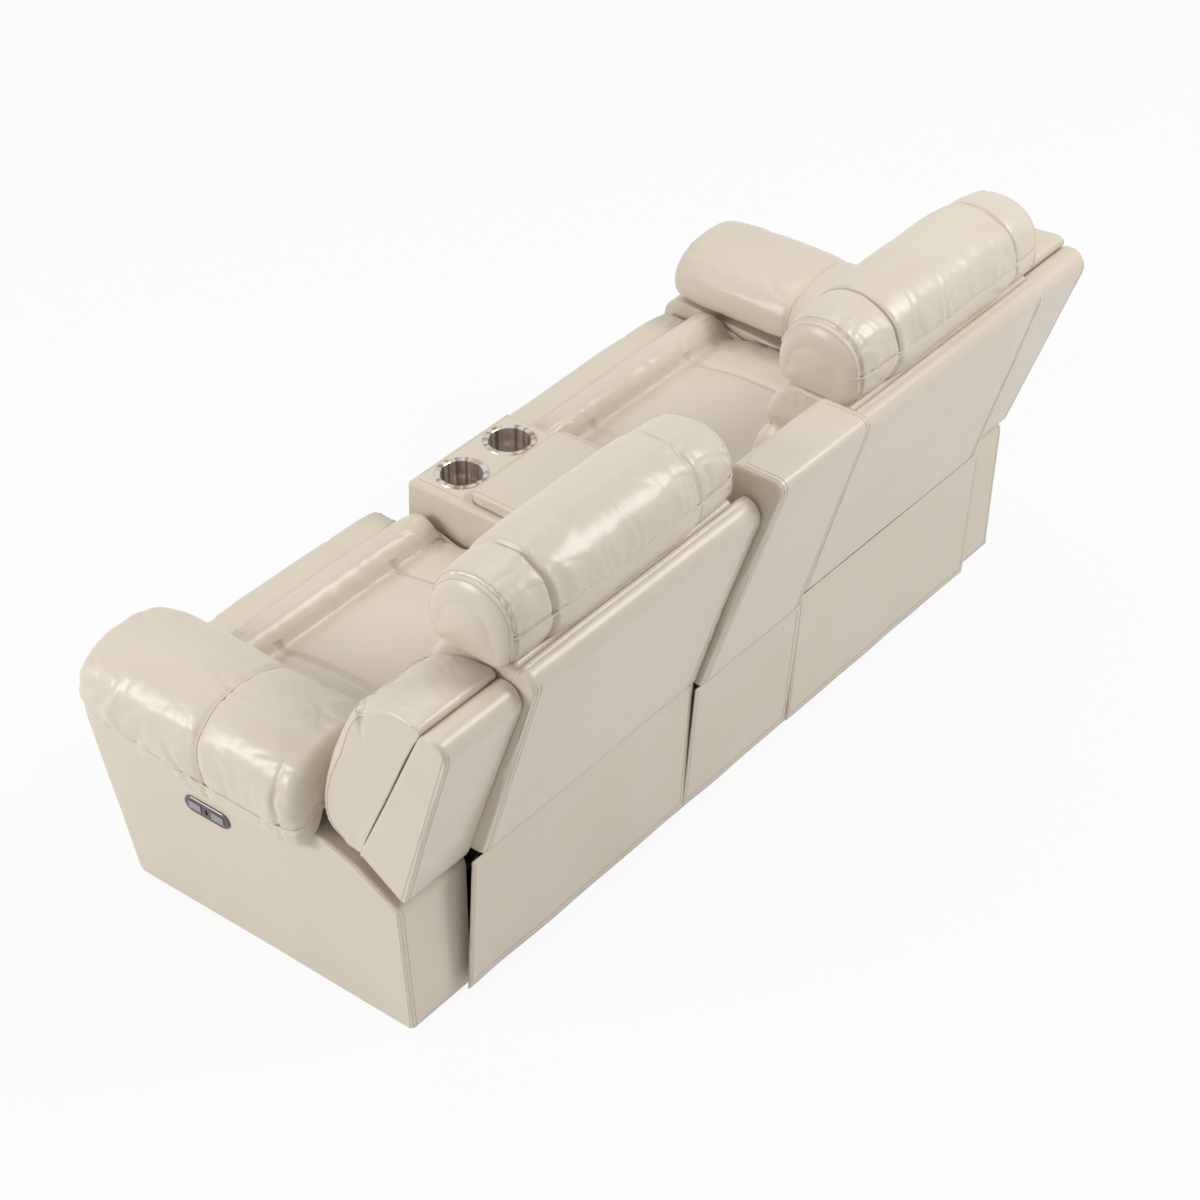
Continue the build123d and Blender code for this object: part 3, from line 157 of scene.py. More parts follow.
def leather(colours):
    """Ivory bonded leather: slight change of tone, fine grain, soft creases and a low sheen."""
    material, tree, surface = finish("ivory_leather", colours.leather, 0.36)
    pore, fold, patch = 1.43 * MM, 31.25 * MM, 200 * MM  # from one to the next
    place = add(tree, "ShaderNodeTexCoord").outputs["Object"]
    cloud = add(tree, "ShaderNodeTexNoise", Vector=place, Scale=1 / patch, Detail=2.0)
    tone = add(tree, "ShaderNodeMix", cloud.outputs["Fac"], data_type="RGBA")
    tone.inputs[6].default_value = (*colours.leather, 1)
    tone.inputs[7].default_value = (*colours.leather_deep, 1)
    tree.links.new(tone.outputs[2], surface.inputs["Base Color"])
    grain = add(tree, "ShaderNodeTexVoronoi", Vector=place, Scale=1 / pore)
    crease = add(tree, "ShaderNodeTexNoise", Vector=place, Scale=1 / fold, Detail=4.0, Roughness=0.5)
    fine = add(tree, "ShaderNodeBump", Height=grain.outputs["Distance"], Strength=0.12, Distance=0.0004)
    soft = add(tree, "ShaderNodeBump", Height=crease.outputs["Fac"], Normal=fine.outputs["Normal"],
               Strength=0.16, Distance=0.004)
    tree.links.new(soft.outputs["Normal"], surface.inputs["Normal"])
    sheen = add(tree, "ShaderNodeMapRange", Value=crease.outputs["Fac"])
    sheen.inputs["To Min"].default_value = 0.26
    sheen.inputs["To Max"].default_value = 0.4
    tree.links.new(sheen.outputs["Result"], surface.inputs["Roughness"])
    surface.inputs["Coat Weight"].default_value = 0.16
    surface.inputs["Coat Roughness"].default_value = 0.2
    surface.inputs["Specular IOR Level"].default_value = 0.42
    return material


def spun_steel(colours):
    """Spun stainless steel, polished: bright, with soft brown streaks of painted reflection that run down the
    walls of the cups.
    """
    material, tree, surface = finish("cup_steel", colours.steel, 0.18, 0.65)
    width = 13 * MM  # of a streak of painted reflection
    place = add(tree, "ShaderNodeSeparateXYZ", Vector=add(tree, "ShaderNodeTexCoord").outputs["Object"])
    across = add(tree, "ShaderNodeMath", place.outputs["X"], operation="ABSOLUTE").outputs[0]
    x = add(tree, "ShaderNodeMath", across, CUP_X, operation="SUBTRACT").outputs[0]
    y = add(tree, "ShaderNodeMath", place.outputs["Y"], CUP_Y, operation="SUBTRACT").outputs[0]
    spoke = add(tree, "ShaderNodeCombineXYZ", x, y).outputs[0]
    turn = add(tree, "ShaderNodeVectorMath", spoke, operation="NORMALIZE")
    # painted reflection: noise round each cup's axis sets where the brown streaks fall
    reflection_streaks = add(tree, "ShaderNodeTexNoise", Vector=turn.outputs[0], Scale=CUP_RADIUS / width, Detail=3.0)
    ramp = add(tree, "ShaderNodeValToRGB", Fac=reflection_streaks.outputs["Fac"])
    ramp.color_ramp.elements[0].position, ramp.color_ramp.elements[1].position = 0.4, 0.56
    ramp.color_ramp.elements[0].color = (*colours.painted_reflection, 1)
    ramp.color_ramp.elements[1].color = (*colours.steel, 1)
    # below CUP_FLOOR_Z the floors of the cups stay plain steel, without the painted reflection
    low = add(tree, "ShaderNodeMath", place.outputs["Z"], CUP_FLOOR_Z, operation="LESS_THAN").outputs[0]
    tone = add(tree, "ShaderNodeMix", low, data_type="RGBA")
    tree.links.new(ramp.outputs["Color"], tone.inputs[6])
    tone.inputs[7].default_value = (*colours.steel, 1)
    tree.links.new(tone.outputs[2], surface.inputs["Base Color"])
    return material


def plywood(colours):
    """Raw plywood: matt, with a long straight grain in two tones."""
    material, tree, surface = finish("plywood", colours.plywood, 0.7)
    along, across = 333 * MM, 16.7 * MM  # size of the grain
    place = add(tree, "ShaderNodeTexCoord").outputs["Object"]
    run = add(tree, "ShaderNodeMapping", Vector=place, Scale=(1 / along, 1 / across, 1 / across))
    grain = add(tree, "ShaderNodeTexNoise", Vector=run.outputs["Vector"], Scale=1.0, Detail=5.0)
    ramp = add(tree, "ShaderNodeValToRGB", Fac=grain.outputs["Fac"])
    ramp.color_ramp.elements[0].color = (*[c * 0.72 for c in colours.plywood], 1)
    ramp.color_ramp.elements[1].color = (*colours.plywood, 1)
    tree.links.new(ramp.outputs["Color"], surface.inputs["Base Color"])
    return material


def speckled(name, tint, rough, metallic, grit, depth):
    """Painted, moulded or plated surface; grit and depth are its texture's size and height in metres."""
    material, tree, surface = finish(name, tint, rough, metallic)
    place = add(tree, "ShaderNodeTexCoord").outputs["Object"]
    texture = add(tree, "ShaderNodeTexNoise", Vector=place, Scale=1 / grit, Detail=2.0)
    bump = add(tree, "ShaderNodeBump", Height=texture.outputs["Fac"], Strength=0.3, Distance=depth)
    tree.links.new(bump.outputs["Normal"], surface.inputs["Normal"])
    return material


# Forms, in millimetres, as seen from the side

def ring(points, share):
    """Point on a smooth closed curve through points, a share of the way round."""
    count = len(points)
    place = (share % 1) * count
    first = int(place)
    t = place - first
    a, b, c, d = (points[(first + step) % count] for step in (-1, 0, 1, 2))
    return 0.5 * (2 * b + (c - a) * t + (2 * a - 5 * b + 4 * c - d) * t**2 + (3 * b - a - 3 * c + d) * t**3)


def spaced(points, gap):
    """Points about a gap apart along a line through points."""
    path = [points[0].copy()]
    left = gap
    for start, end in zip(points, points[1:]):
        run = (end - start).length
        while left <= run:
            path.append(start.lerp(end, left / run))
            left += gap
        left -= run
    return path


def outline(corners, radii, gap=12):
    """Points round a polygon with rounded corners."""
    path = []
    for k, radius in enumerate(radii):
        here = Vector(corners[k])
        back = (Vector(corners[k - 1]) - here).normalized()
        ahead = (Vector(corners[(k + 1) % len(corners)]) - here).normalized()
        half = back.angle(ahead) / 2
        centre = here + (back + ahead).normalized() * radius / sin(half)
        start, end = (here + way * radius / tan(half) - centre for way in (back, ahead))
        path += [centre + start.slerp(end, step / 6).normalized() * radius for step in range(7)]
    return spaced(path + path[:1], gap)


def even(size):
    """Rounding of an end seam that is the same all round the section."""
    return lambda v: size


def rim(low, high, start, end):
    """Rounding of an end seam: high between two places round the section, low on the rest."""
    def edge(v):
        here = v - 1 if v > 0.9 and start < 0 else v
        return low + (high - low) * min(max(min(here - start, end - here) / 0.1, 0), 1)

    return edge


def stuffed(full, drawn, grip=(4, 4), edge=even(6), span=600.0, cap=CAP, bulge=0.0):
    """Form of a closed cover: full in the middle, drawn in towards both ends, with rounded end seams."""
    full, drawn = ([Vector(p) for p in section] for section in (full, drawn))
    middle = sum(drawn, Vector((0, 0))) / len(drawn)

    def form(u, v):
        inside = min(min(u, 1 - u) / cap, 1)
        share = min(max((u - cap) / (1 - 2 * cap), 0), 1)
        along = (1 - cos(pi * share)) / 2
        power = grip[along > 0.5]
        fullness = max(0, 1 - abs(2 * along - 1) ** power) ** (1 / power)
        point = ring(drawn, v).lerp(ring(full, v), fullness)
        rounding = edge(v)
        depth = min(min(along, 1 - along) * span / rounding, 1)
        point += (middle - point).normalized() * rounding * (1 - sqrt(1 - (1 - depth) ** 2))
        point = middle.lerp(point, inside)
        puff = bulge / span * (1 - inside**2)
        return along + (puff if u > 0.5 else -puff), point

    return form


def groove(away, depth, width):
    """Dip along a seam."""
    return -depth * exp(-((away / width) ** 2))


def pucker(along, away, height, seed, pitch=0.024, reach=0.04):
    """Round folds with sharp valleys that run away from a gathered seam and die out."""
    wander = noise.noise(Vector((along / 0.06, away / 0.08, seed)))
    fold = abs(noise.noise(Vector((along / pitch + wander, away / 0.12, seed + 9))))
    return height * (2.4 * fold - 0.6) * exp(-abs(away) / reach)


def closing_in(u, cap=CAP):
    """Fades from 1 to 0 soon after a cover turns in over its end."""
    return min(min(u, 1 - u) / cap, 1) ** 6


def ring_at(along, cap=CAP):
    """Place u of the ring of a cover that lies a share of the way along."""
    return cap + acos(1 - 2 * along) / pi * (1 - 2 * cap)


def from_ends(spot, near, far):
    """Distance in metres from the nearer end of a cover that spans two X, given in millimetres."""
    return max(min(abs(spot.x) - near * MM, far * MM - abs(spot.x)), 0)


def slack(place, height, seed, size=0.12):
    """Slow waves of a loose cover."""
    return height * noise.noise(place / size + Vector((seed, seed, 0)))


def loose():
    """Heights of the folds beside gathered seams and of the slow waves, in metres."""
    sizes = bpy.context.scene.loveseat_sizes
    return sizes.pucker, sizes.slack


# Building blocks

def keep(name, mesh, material, body):
    """Turns a bmesh into a smooth piece that rides on a body."""
    for face in mesh.faces:
        face.smooth = True
    data = bpy.data.meshes.new(name)
    mesh.to_mesh(data)
    mesh.free()
    data.materials.append(material)
    piece = bpy.data.objects.new(name, data)
    bpy.context.scene.collection.objects.link(piece)
    if body:
        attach(piece, body)
    return piece


def wrap(name, form, place, relief, rings, around, material, body):
    """Cover wrapped round a form: place puts a form point in space, relief swells or sinks it there."""
    mesh = bmesh.new()
    us, vs = mesh.verts.layers.float.new("u"), mesh.verts.layers.float.new("v")
    bmesh.ops.create_grid(mesh, x_segments=rings, y_segments=around, size=0.5)
    for vert in mesh.verts:
        vert[us], vert[vs] = vert.co.x + 0.5, vert.co.y + 0.5
        vert.co = place(*form(vert[us], vert[vs]))
    bmesh.ops.remove_doubles(mesh, verts=mesh.verts, dist=0.00001)
    bmesh.ops.recalc_face_normals(mesh, faces=mesh.faces)
    mesh.normal_update()
    moves = [vert.normal * relief(vert[us], vert[vs], vert.co) for vert in mesh.verts]
    for vert, move in zip(mesh.verts, moves):
        vert.co += move
    return keep(name, mesh, material, body)


def spanning_x(side, near, far):
    """Placer for a side-view form: near and far are X, or functions of height, all in millimetres."""
    def place(along, point):
        low = near(point.y) if callable(near) else near
        high = far(point.y) if callable(far) else far
        return Vector((side * (low + (high - low) * along), point.x, point.y)) * MM

    return place


def spanning_y(side, front, rear):
    """Placer for a front-view form that runs from front to rear."""
    def place(along, point):
        return Vector((side * point.x, front + (rear - front) * along, point.y)) * MM

    return place


def surface_of(piece):
    """Search tree of a piece's surface."""
    data = piece.data
    return BVHTree.FromPolygons([v.co for v in data.vertices], [p.vertices for p in data.polygons])


def stitches(name, piece, paths, body):
    """Rows of stitches that lie on a piece's surface; paths are lines of points in metres."""
    sizes, tree, mesh = bpy.context.scene.loveseat_sizes, surface_of(piece), bmesh.new()
    half = Vector((sizes.stitch_length / 2, sizes.thread / 2, sizes.thread / 2))
    for path in paths:
        points = spaced(path, sizes.stitch_pitch)
        for here, after in zip(points, points[1:]):
            spot, normal = tree.find_nearest(here)[:2]
            way = after - here
            way = (way - normal * way.dot(normal)).normalized()
            turn = Matrix((way, normal.cross(way), normal)).transposed().to_4x4()
            matrix = Matrix.Translation(spot) @ turn @ Matrix.Diagonal((*half, 1))
            bmesh.ops.create_cube(mesh, size=2.0, matrix=matrix)
    return keep(name, mesh, bpy.data.materials["thread"], body)


def welts(name, piece, paths, body, radius=None):
    """Cords sewn along seams of a piece, lying on its surface."""
    tree = surface_of(piece)
    curve = bpy.data.curves.new(name, "CURVE")
    curve.dimensions = "3D"
    curve.bevel_depth = radius or bpy.context.scene.loveseat_sizes.welt
    curve.bevel_resolution = 2
    for path in paths:
        spots = [tree.find_nearest(p)[0] for p in spaced(path, 0.012)]
        line = curve.splines.new("POLY")
        line.points.add(len(spots) - 1)
        for point, spot in zip(line.points, spots):
            point.co = (*spot, 1)
    curve.materials.append(bpy.data.materials["ivory_leather"])
    cord = bpy.data.objects.new(name, curve)
    bpy.context.scene.collection.objects.link(cord)
    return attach(cord, body)


def path_v(form, place, u, start=0.0, end=1.0):
    """Line round a form at a fixed u."""
    return [place(*form(u, start + (end - start) * k / 60)) for k in range(61)]


def path_u(form, place, v, start, end):
    """Line along a form at a fixed v."""
    return [place(*form(start + (end - start) * k / 60, v)) for k in range(61)]


def cover(name, form, place, relief, body, nodes, rings=90, around=130):
    """Leather piece that stands for CAD nodes and hides them."""
    piece = wrap(name, form, place, relief, rings, around, bpy.data.materials["ivory_leather"], body)
    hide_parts(*nodes)
    return piece


# Operators

class LOVESEAT_OT_finishes(bpy.types.Operator):
    """Gives every CAD node its real material"""

    bl_idname = "loveseat.finishes"
    bl_label = "Finishes"

    def execute(self, context):
        colours = context.scene.loveseat_colours
        for old in list(bpy.data.materials):
            bpy.data.materials.remove(old)
        # polyester thread: dull, a little darker than the leather
        thread = finish("thread", colours.thread, 0.6)[0]
        thread.use_fake_user = True
        made = {
            "ivory_leather": leather(colours),
            "plywood": plywood(colours),
            # powder-coated steel: satin black with an orange-peel texture
            "black_steel": speckled("black_steel", colours.black, 0.45, 0.0, 0.0011, 0.0002),
            # black-stained softwood: dull, with open grain
            "stained_wood": speckled("stained_wood", colours.black, 0.6, 0.0, 0.016, 0.0003),
            # non-woven polypropylene: matt black, slightly hairy
            "dust_cloth": speckled("dust_cloth", colours.cloth, 0.9, 0.0, 0.0004, 0.0002),
            "cup_steel": spun_steel(colours),
            # zinc-plated steel: soft grey shine
            "hinge_steel": speckled("hinge_steel", colours.zinc, 0.35, 1.0, 0.0011, 0.0001),
            # anodised aluminium: dark, with a clear sheen
            "switch_metal": speckled("switch_metal", colours.bezel, 0.32, 0.9, 0.0007, 0.00005),
            # painted ABS: grey satin keys
            "switch_button": speckled("switch_button", colours.button, 0.4, 0.2, 0.0007, 0.00005),
            # moulded ABS: fine spark-eroded texture
            "black_plastic": speckled("black_plastic", colours.black, 0.55, 0.0, 0.0008, 0.0002),
        }
        for part in frame["record"]["subparts"]:
            data = frame["nodes"][part["node"]].data
            data.materials.clear()
            data.materials.append(made[part["material_slot"]])
        for name, width in (("console_cover", 0.008), ("cup_holders", 0.0005)):
            node = frame["nodes"][name]
            weld = node.modifiers.new("Weld", "WELD")
            weld.merge_threshold = 0.00002
            soft = node.modifiers.new("Bevel", "BEVEL")
            soft.width = width
            soft.segments = 3
            soft.harden_normals = True
        return {"FINISHED"}


def arm_outer(z):
    """X of the arm's outer side at a height, in millimetres."""
    return 930 + z * tan(radians(4))


class LOVESEAT_OT_arms(bpy.types.Operator):
    """Arm boxes and the stuffed pillows that hang over them"""

    bl_idname = "loveseat.arms"
    bl_label = "Arms"

    def execute(self, context):
        for name, side in SIDES:
            self.box(name, side)
            self.pillow(name, side)
        return {"FINISHED"}

    def box(self, name, side):
        """Upholstered side box with a double row of stitches round its rear outer edge."""
        corners = [(-400.4, 12), (-485, 428), (95, 398), (190, 370), (283, 312), (283, 12)]
        side_view = outline(corners, [6, 45, 60, 60, 14, 4])
        form = stuffed(side_view, side_view, span=180)
        place = spanning_x(side, 772, arm_outer)

        def relief(u, v, spot):
            return slack(spot, 0.0008, 3 * side, 0.2)

        piece = cover(f"{name}_arm_box", form, place, relief, "base", [f"{name}_arm_cover"], 70, 170)
        rear = [Vector((side * (arm_outer(z) - 2), 283, z)) * MM for z in range(16, 306, 10)]
        slope = ((283, 306), (262, 325), (190, 368), (120, 389))
        top = [Vector((side * (arm_outer(z) - 2), y, z)) * MM for y, z in slope]
        rows = [[p + Vector((side * dx, dy, 0)) for p in rear + top] for dx, dy in ((0, -0.006), (-0.008, 0))]
        stitches(f"{name}_arm_stitches", piece, rows, "base")

    def pillow(self, name, side):
        """Stuffed pillow over the box, with a lip down its side and two welted seams."""
        folds, waves = loose()
        full = [
            (968, 371), (983, 380), (997, 418), (1004, 468), (992, 516), (957, 549), (906, 566), (850, 565),
            (795, 550), (758, 522), (747, 484), (757, 452), (800, 437), (860, 434), (920, 434), (966, 436),
            (963, 400),
        ]
        drawn = [
            (958, 428), (968, 434), (978, 456), (976, 482), (962, 508), (934, 526), (895, 535), (850, 535),
            (808, 524), (784, 504), (775, 480), (782, 458), (810, 446), (860, 442), (908, 440), (940, 436),
            (952, 430),
        ]
        hang = [1, 0.7, 0.3] + [0] * 13 + [0.8]
        front, rear, welt_y, welt_v, girth, cap = -446, 96, -137, 0.108, 0.9, 0.12
        shape = stuffed(full, drawn, (3.4, 7), even(24), rear - front, cap, 14)
        place = spanning_y(side, front, rear)
        weights = [Vector((w, 0)) for w in hang]

        def form(u, v):
            along, point = shape(u, v)
            y = front + (rear - front) * along
            hem = -18 + 0.2 * max(0, welt_y - y) + 0.12 * max(0, y)
            drop = ring(weights, v).x * hem * max(0, 1 - abs(2 * along - 1) ** 6)
            return along, point + Vector((0, drop))

        def relief(u, v, spot):
            around, band, y = v * girth, (v - welt_v) * girth, spot.y
            cross = y - welt_y * MM
            ends = max(min(y - front * MM, rear * MM - y), 0)
            swell = 0.004 * (1 - exp(-abs(cross) / 0.06))
            pleat = groove(y - 0.05, 0.008, 0.006) * exp(-(((v - 0.17) / 0.08) ** 2))
            gathers = pucker(y, band, folds * 2.2, side * 5, 0.06, 0.1) * (1 if v > welt_v else 0.4)
            gathers += pucker(y, band, folds * 1.3, side * 19, 0.03, 0.07)
            rising = pucker(around, ends, folds * 2.4, side * 17, 0.06, 0.11) * (1 - exp(-ends / 0.03))
            return (
                swell
                + pleat
                + groove(cross, 0.005, 0.005)
                + groove(band, 0.006, 0.005) * (v < 0.3)
                + gathers * (v < 0.45) * closing_in(u, cap)
                + pucker(around, cross, folds, side * 11, 0.05, 0.06)
                + rising
                + slack(spot, waves, side * 2)
            )

        node = f"{name}_arm_pillow"
        piece = cover(f"{node}_cover", form, place, relief, "base", [node], 220, 240)
        band = path_u(form, place, welt_v, 0.14, 0.86)
        cross = path_v(form, place, ring_at((welt_y - front) / (rear - front), cap), welt_v, 0.62)
        welts(f"{node}_welts", piece, [band, cross], "base")


def lean(depth, z):
    """Y in front of the back's rear plane at a height, in millimetres."""
    return 323 + (z - 345) * tan(radians(16.5)) - depth


def shell_inner(z):
    """X of the back shell's inner side at a height, in millimetres; it follows the centre's taper."""
    return 168 - (z - 344) * 0.047


def wing_outer(z):
    """X of the wing's outer side at a height, in millimetres."""
    return 946 + (z - 307) * 0.066


class LOVESEAT_OT_backs(bpy.types.Operator):
    """Back shells, wings, back cushions and headrests"""

    bl_idname = "loveseat.backs"
    bl_label = "Backs"

    def execute(self, context):
        for name, side in SIDES:
            for build in (self.shell, self.wing, self.wing_pad, self.cushion, self.headrest):
                build(name, side)
        return {"FINISHED"}

    def shell(self, name, side):
        """Rear cover with a rolled top and a double row of stitches down each side."""
        outer = 778
        corners = [(lean(53, 344), 344), (lean(53, 808), 808), (lean(0, 808), 808), (lean(0, 344), 344)]
        side_view = outline(corners, [3, 14, 36, 3])
        form = stuffed(side_view, side_view, edge=even(12), span=598)
        place = spanning_x(side, shell_inner, outer)

        def relief(u, v, spot):
            edge = from_ends(spot, shell_inner(spot.z / MM), outer)
            return slack(spot, 0.0016, side * 4, 0.25) + pucker(spot.z, edge, 0.0008, side * 3, 0.05, 0.1)

        body = f"{name}_back"
        piece = cover(f"{name}_back_cover", form, place, relief, body, [f"{name}_back_shell"], 90, 130)
        zs = range(350, 800, 15)
        rows = []
        for inset in (11, 20):
            rows.append([Vector((side * (outer - inset), lean(0, z), z)) * MM for z in zs])
            rows.append([Vector((side * (shell_inner(z) + inset), lean(0, z), z)) * MM for z in zs])
        stitches(f"{name}_back_stitches", piece, rows, body)

    def wing(self, name, side):
        """Rear part of a wing, with stitches on both sides of its rear edge."""
        corners = [(197, 399), (372, 772), (442, 786), (291, 330)]
        side_view = outline(corners, [4, 14, 34, 4], 10)
        form = stuffed(side_view, side_view, edge=rim(1.5, 9, 0.36, 1.1), span=186)
        place = spanning_x(side, 778.5, wing_outer)

        def relief(u, v, spot):
            return slack(spot, 0.0012, side * 6, 0.16)

        body = f"{name}_back"
        piece = cover(f"{name}_wing_cover", form, place, relief, body, [f"{name}_wing_shell"], 70, 120)
        heights = range(340, 770, 12)
        corner = [(291 + (z - 330) * 151 / 456, z) for z in heights]
        rows = [
            [Vector((side * (wing_outer(z) - dx), y - dy, z)) * MM for y, z in corner]
            for dx, dy in ((0, 9), (9, 0))
        ]
        stitches(f"{name}_wing_stitches", piece, rows, body)

    def wing_pad(self, name, side):
        """Stuffed front of a wing, with welts round both ends and a stitched seam over the top."""
        folds, waves = loose()
        rear = [(371, 778), (351, 735), (329, 690), (288, 600), (248, 515), (219, 452)]
        full = [
            (199, 406), (158, 407), (122, 426), (114, 475), (126, 540), (146, 600), (168, 655), (196, 715),
            (232, 765), (285, 790), (340, 793), *rear,
        ]
        drawn = [
            (199, 407), (162, 412), (130, 434), (123, 480), (135, 540), (154, 599), (176, 653), (204, 711),
            (239, 758), (289, 782), (340, 788), *rear,
        ]
        inner, front, top_seam, girth, cap = 783, 0.62, 8 / len(full), 0.9, 0.12
        form = stuffed(full, drawn, (3, 3), rim(2, 20, 0, front), 184, cap)
        place = spanning_x(side, inner, wing_outer)

        def relief(u, v, spot):
            ends = from_ends(spot, inner, wing_outer(spot.z / MM))
            over = (v - top_seam) * girth
            return closing_in(u, cap) * (v < front + 0.02) * (
                groove(over, 0.006, 0.006)
                + pucker(v * girth, ends, folds * 0.7, side * 7, 0.05, 0.04)
                + pucker(spot.x, over, folds * 2, side * 9, 0.035, 0.06)
                + slack(spot, waves * 0.8, side * 8)
            )

        node, body = f"{name}_wing_pad", f"{name}_back"
        piece = cover(f"{node}_cover", form, place, relief, body, [node], 100, 170)
        ends = [path_v(form, place, u, 0.04, front) for u in (0.14, 0.86)]
        welts(f"{node}_welts", piece, ends, body, 0.0014)
        across = [path_u(form, place, top_seam + gap, 0.16, 0.84) for gap in (-0.011, 0.011)]
        stitches(f"{node}_stitches", piece, across, body)

    def cushion(self, name, side):
        """Front of a back: a full cushion with two sewn channels across it."""
        folds, waves = loose()
        near, far, channels = 182, 776, (0.565, 0.69)

        def section(*depths):
            heights = (436, 434, 438, 470, 530, 585, 640, 700, 760, 803, 806, 804, 700, 560)
            return [(lean(d, z), z) for d, z in zip(depths, heights)]

        full = section(51, 120, 196, 230, 245, 240, 238, 240, 233, 204, 130, 51, 51, 51)
        drawn = section(51, 110, 170, 196, 206, 203, 201, 202, 196, 174, 120, 51, 51, 51)
        form = stuffed(full, drawn, edge=even(10), span=far - near)
        place = spanning_x(side, near, far)

        def relief(u, v, spot):
            front, girth = v < 0.72, 1.1
            away = [spot.z - z for z in channels]
            return front * (
                sum(groove(gap, 0.016, 0.02) for gap in away)
                + pucker(spot.x, min(map(abs, away)), folds * 1.3, side * 21, 0.03, 0.05)
                + pucker(v * girth, from_ends(spot, near, far), folds, side * 23, 0.03, 0.06) * closing_in(u)
                + slack(spot, waves, side * 10)
            )

        node = f"{name}_back_cushion"
        cover(f"{node}_cover", form, place, relief, f"{name}_back", [node], 110, 150)

    def headrest(self, name, side):
        """Stuffed roll with a panel between two seams, arched end seams and a welt along its rear."""
        folds, waves = loose()
        full = [
            (400, 812), (424, 842), (431, 880), (421, 925), (393, 957), (346, 977), (298, 974), (256, 949),
            (229, 908), (220, 865), (227, 833), (252, 817), (300, 812), (350, 811),
        ]
        drawn = [
            (392, 813), (404, 838), (405, 868), (398, 900), (380, 925), (346, 939), (305, 938), (270, 920),
            (248, 891), (240, 860), (242, 835), (256, 819), (295, 813), (345, 812),
        ]
        near, far, cap = 177, 804, 0.12
        seams, arch, welt_v, front_v, girth = (0.694, 0.302), 0.018, 2 / len(full), 0.7, 0.62
        form = stuffed(full, drawn, (2.8, 2.8), rim(8, 30, 0.02, 0.78), far - near, cap, 7)
        place = spanning_x(side, near, far)

        def relief(u, v, spot):
            x, around, band = abs(spot.x), v * girth, (v - welt_v) * girth
            ends = from_ends(spot, near, far)
            panel = 0.003 if seams[1] < x < seams[0] else 0
            outside, near_seam = ends > arch, min(abs(x - s) for s in seams)
            return closing_in(u, cap) * (
                panel
                + groove(x - seams[0], 0.011, 0.004)
                + groove(x - seams[1], 0.004, 0.004)
                + groove(ends - arch, 0.003, 0.004)
                + groove(band, 0.005, 0.004) * (v < 0.3) * outside
                + pucker(around, ends - arch, folds * 1.6, side * 31, 0.026, 0.03) * outside
                + pucker(around, near_seam, folds * 1.4, side * 33, 0.06, 0.09) * outside
                + pucker(x, band, folds * 0.8, side * 35, 0.032, 0.14) * outside * (welt_v < v < front_v)
                + slack(spot, waves * 1.2, side * 12)
            )

        node, body = f"{name}_headrest", f"{name}_back"
        piece = cover(f"{node}_cover", form, place, relief, body, [node], 260, 170)
        cross = path_v(form, place, ring_at((seams[1] / MM - near) / (far - near), cap), welt_v, front_v)
        welts(f"{node}_welts", piece, [path_u(form, place, welt_v, 0.17, 0.83), cross], body)
        rings = [ring_at((arch / MM + gap) / (far - near), cap) for gap in (-6, 6)]
        arches = [path_v(form, place, u, 0.02, 0.75) for ring_u in rings for u in (ring_u, 1 - ring_u)]
        stitches(f"{node}_stitches", piece, arches, body)


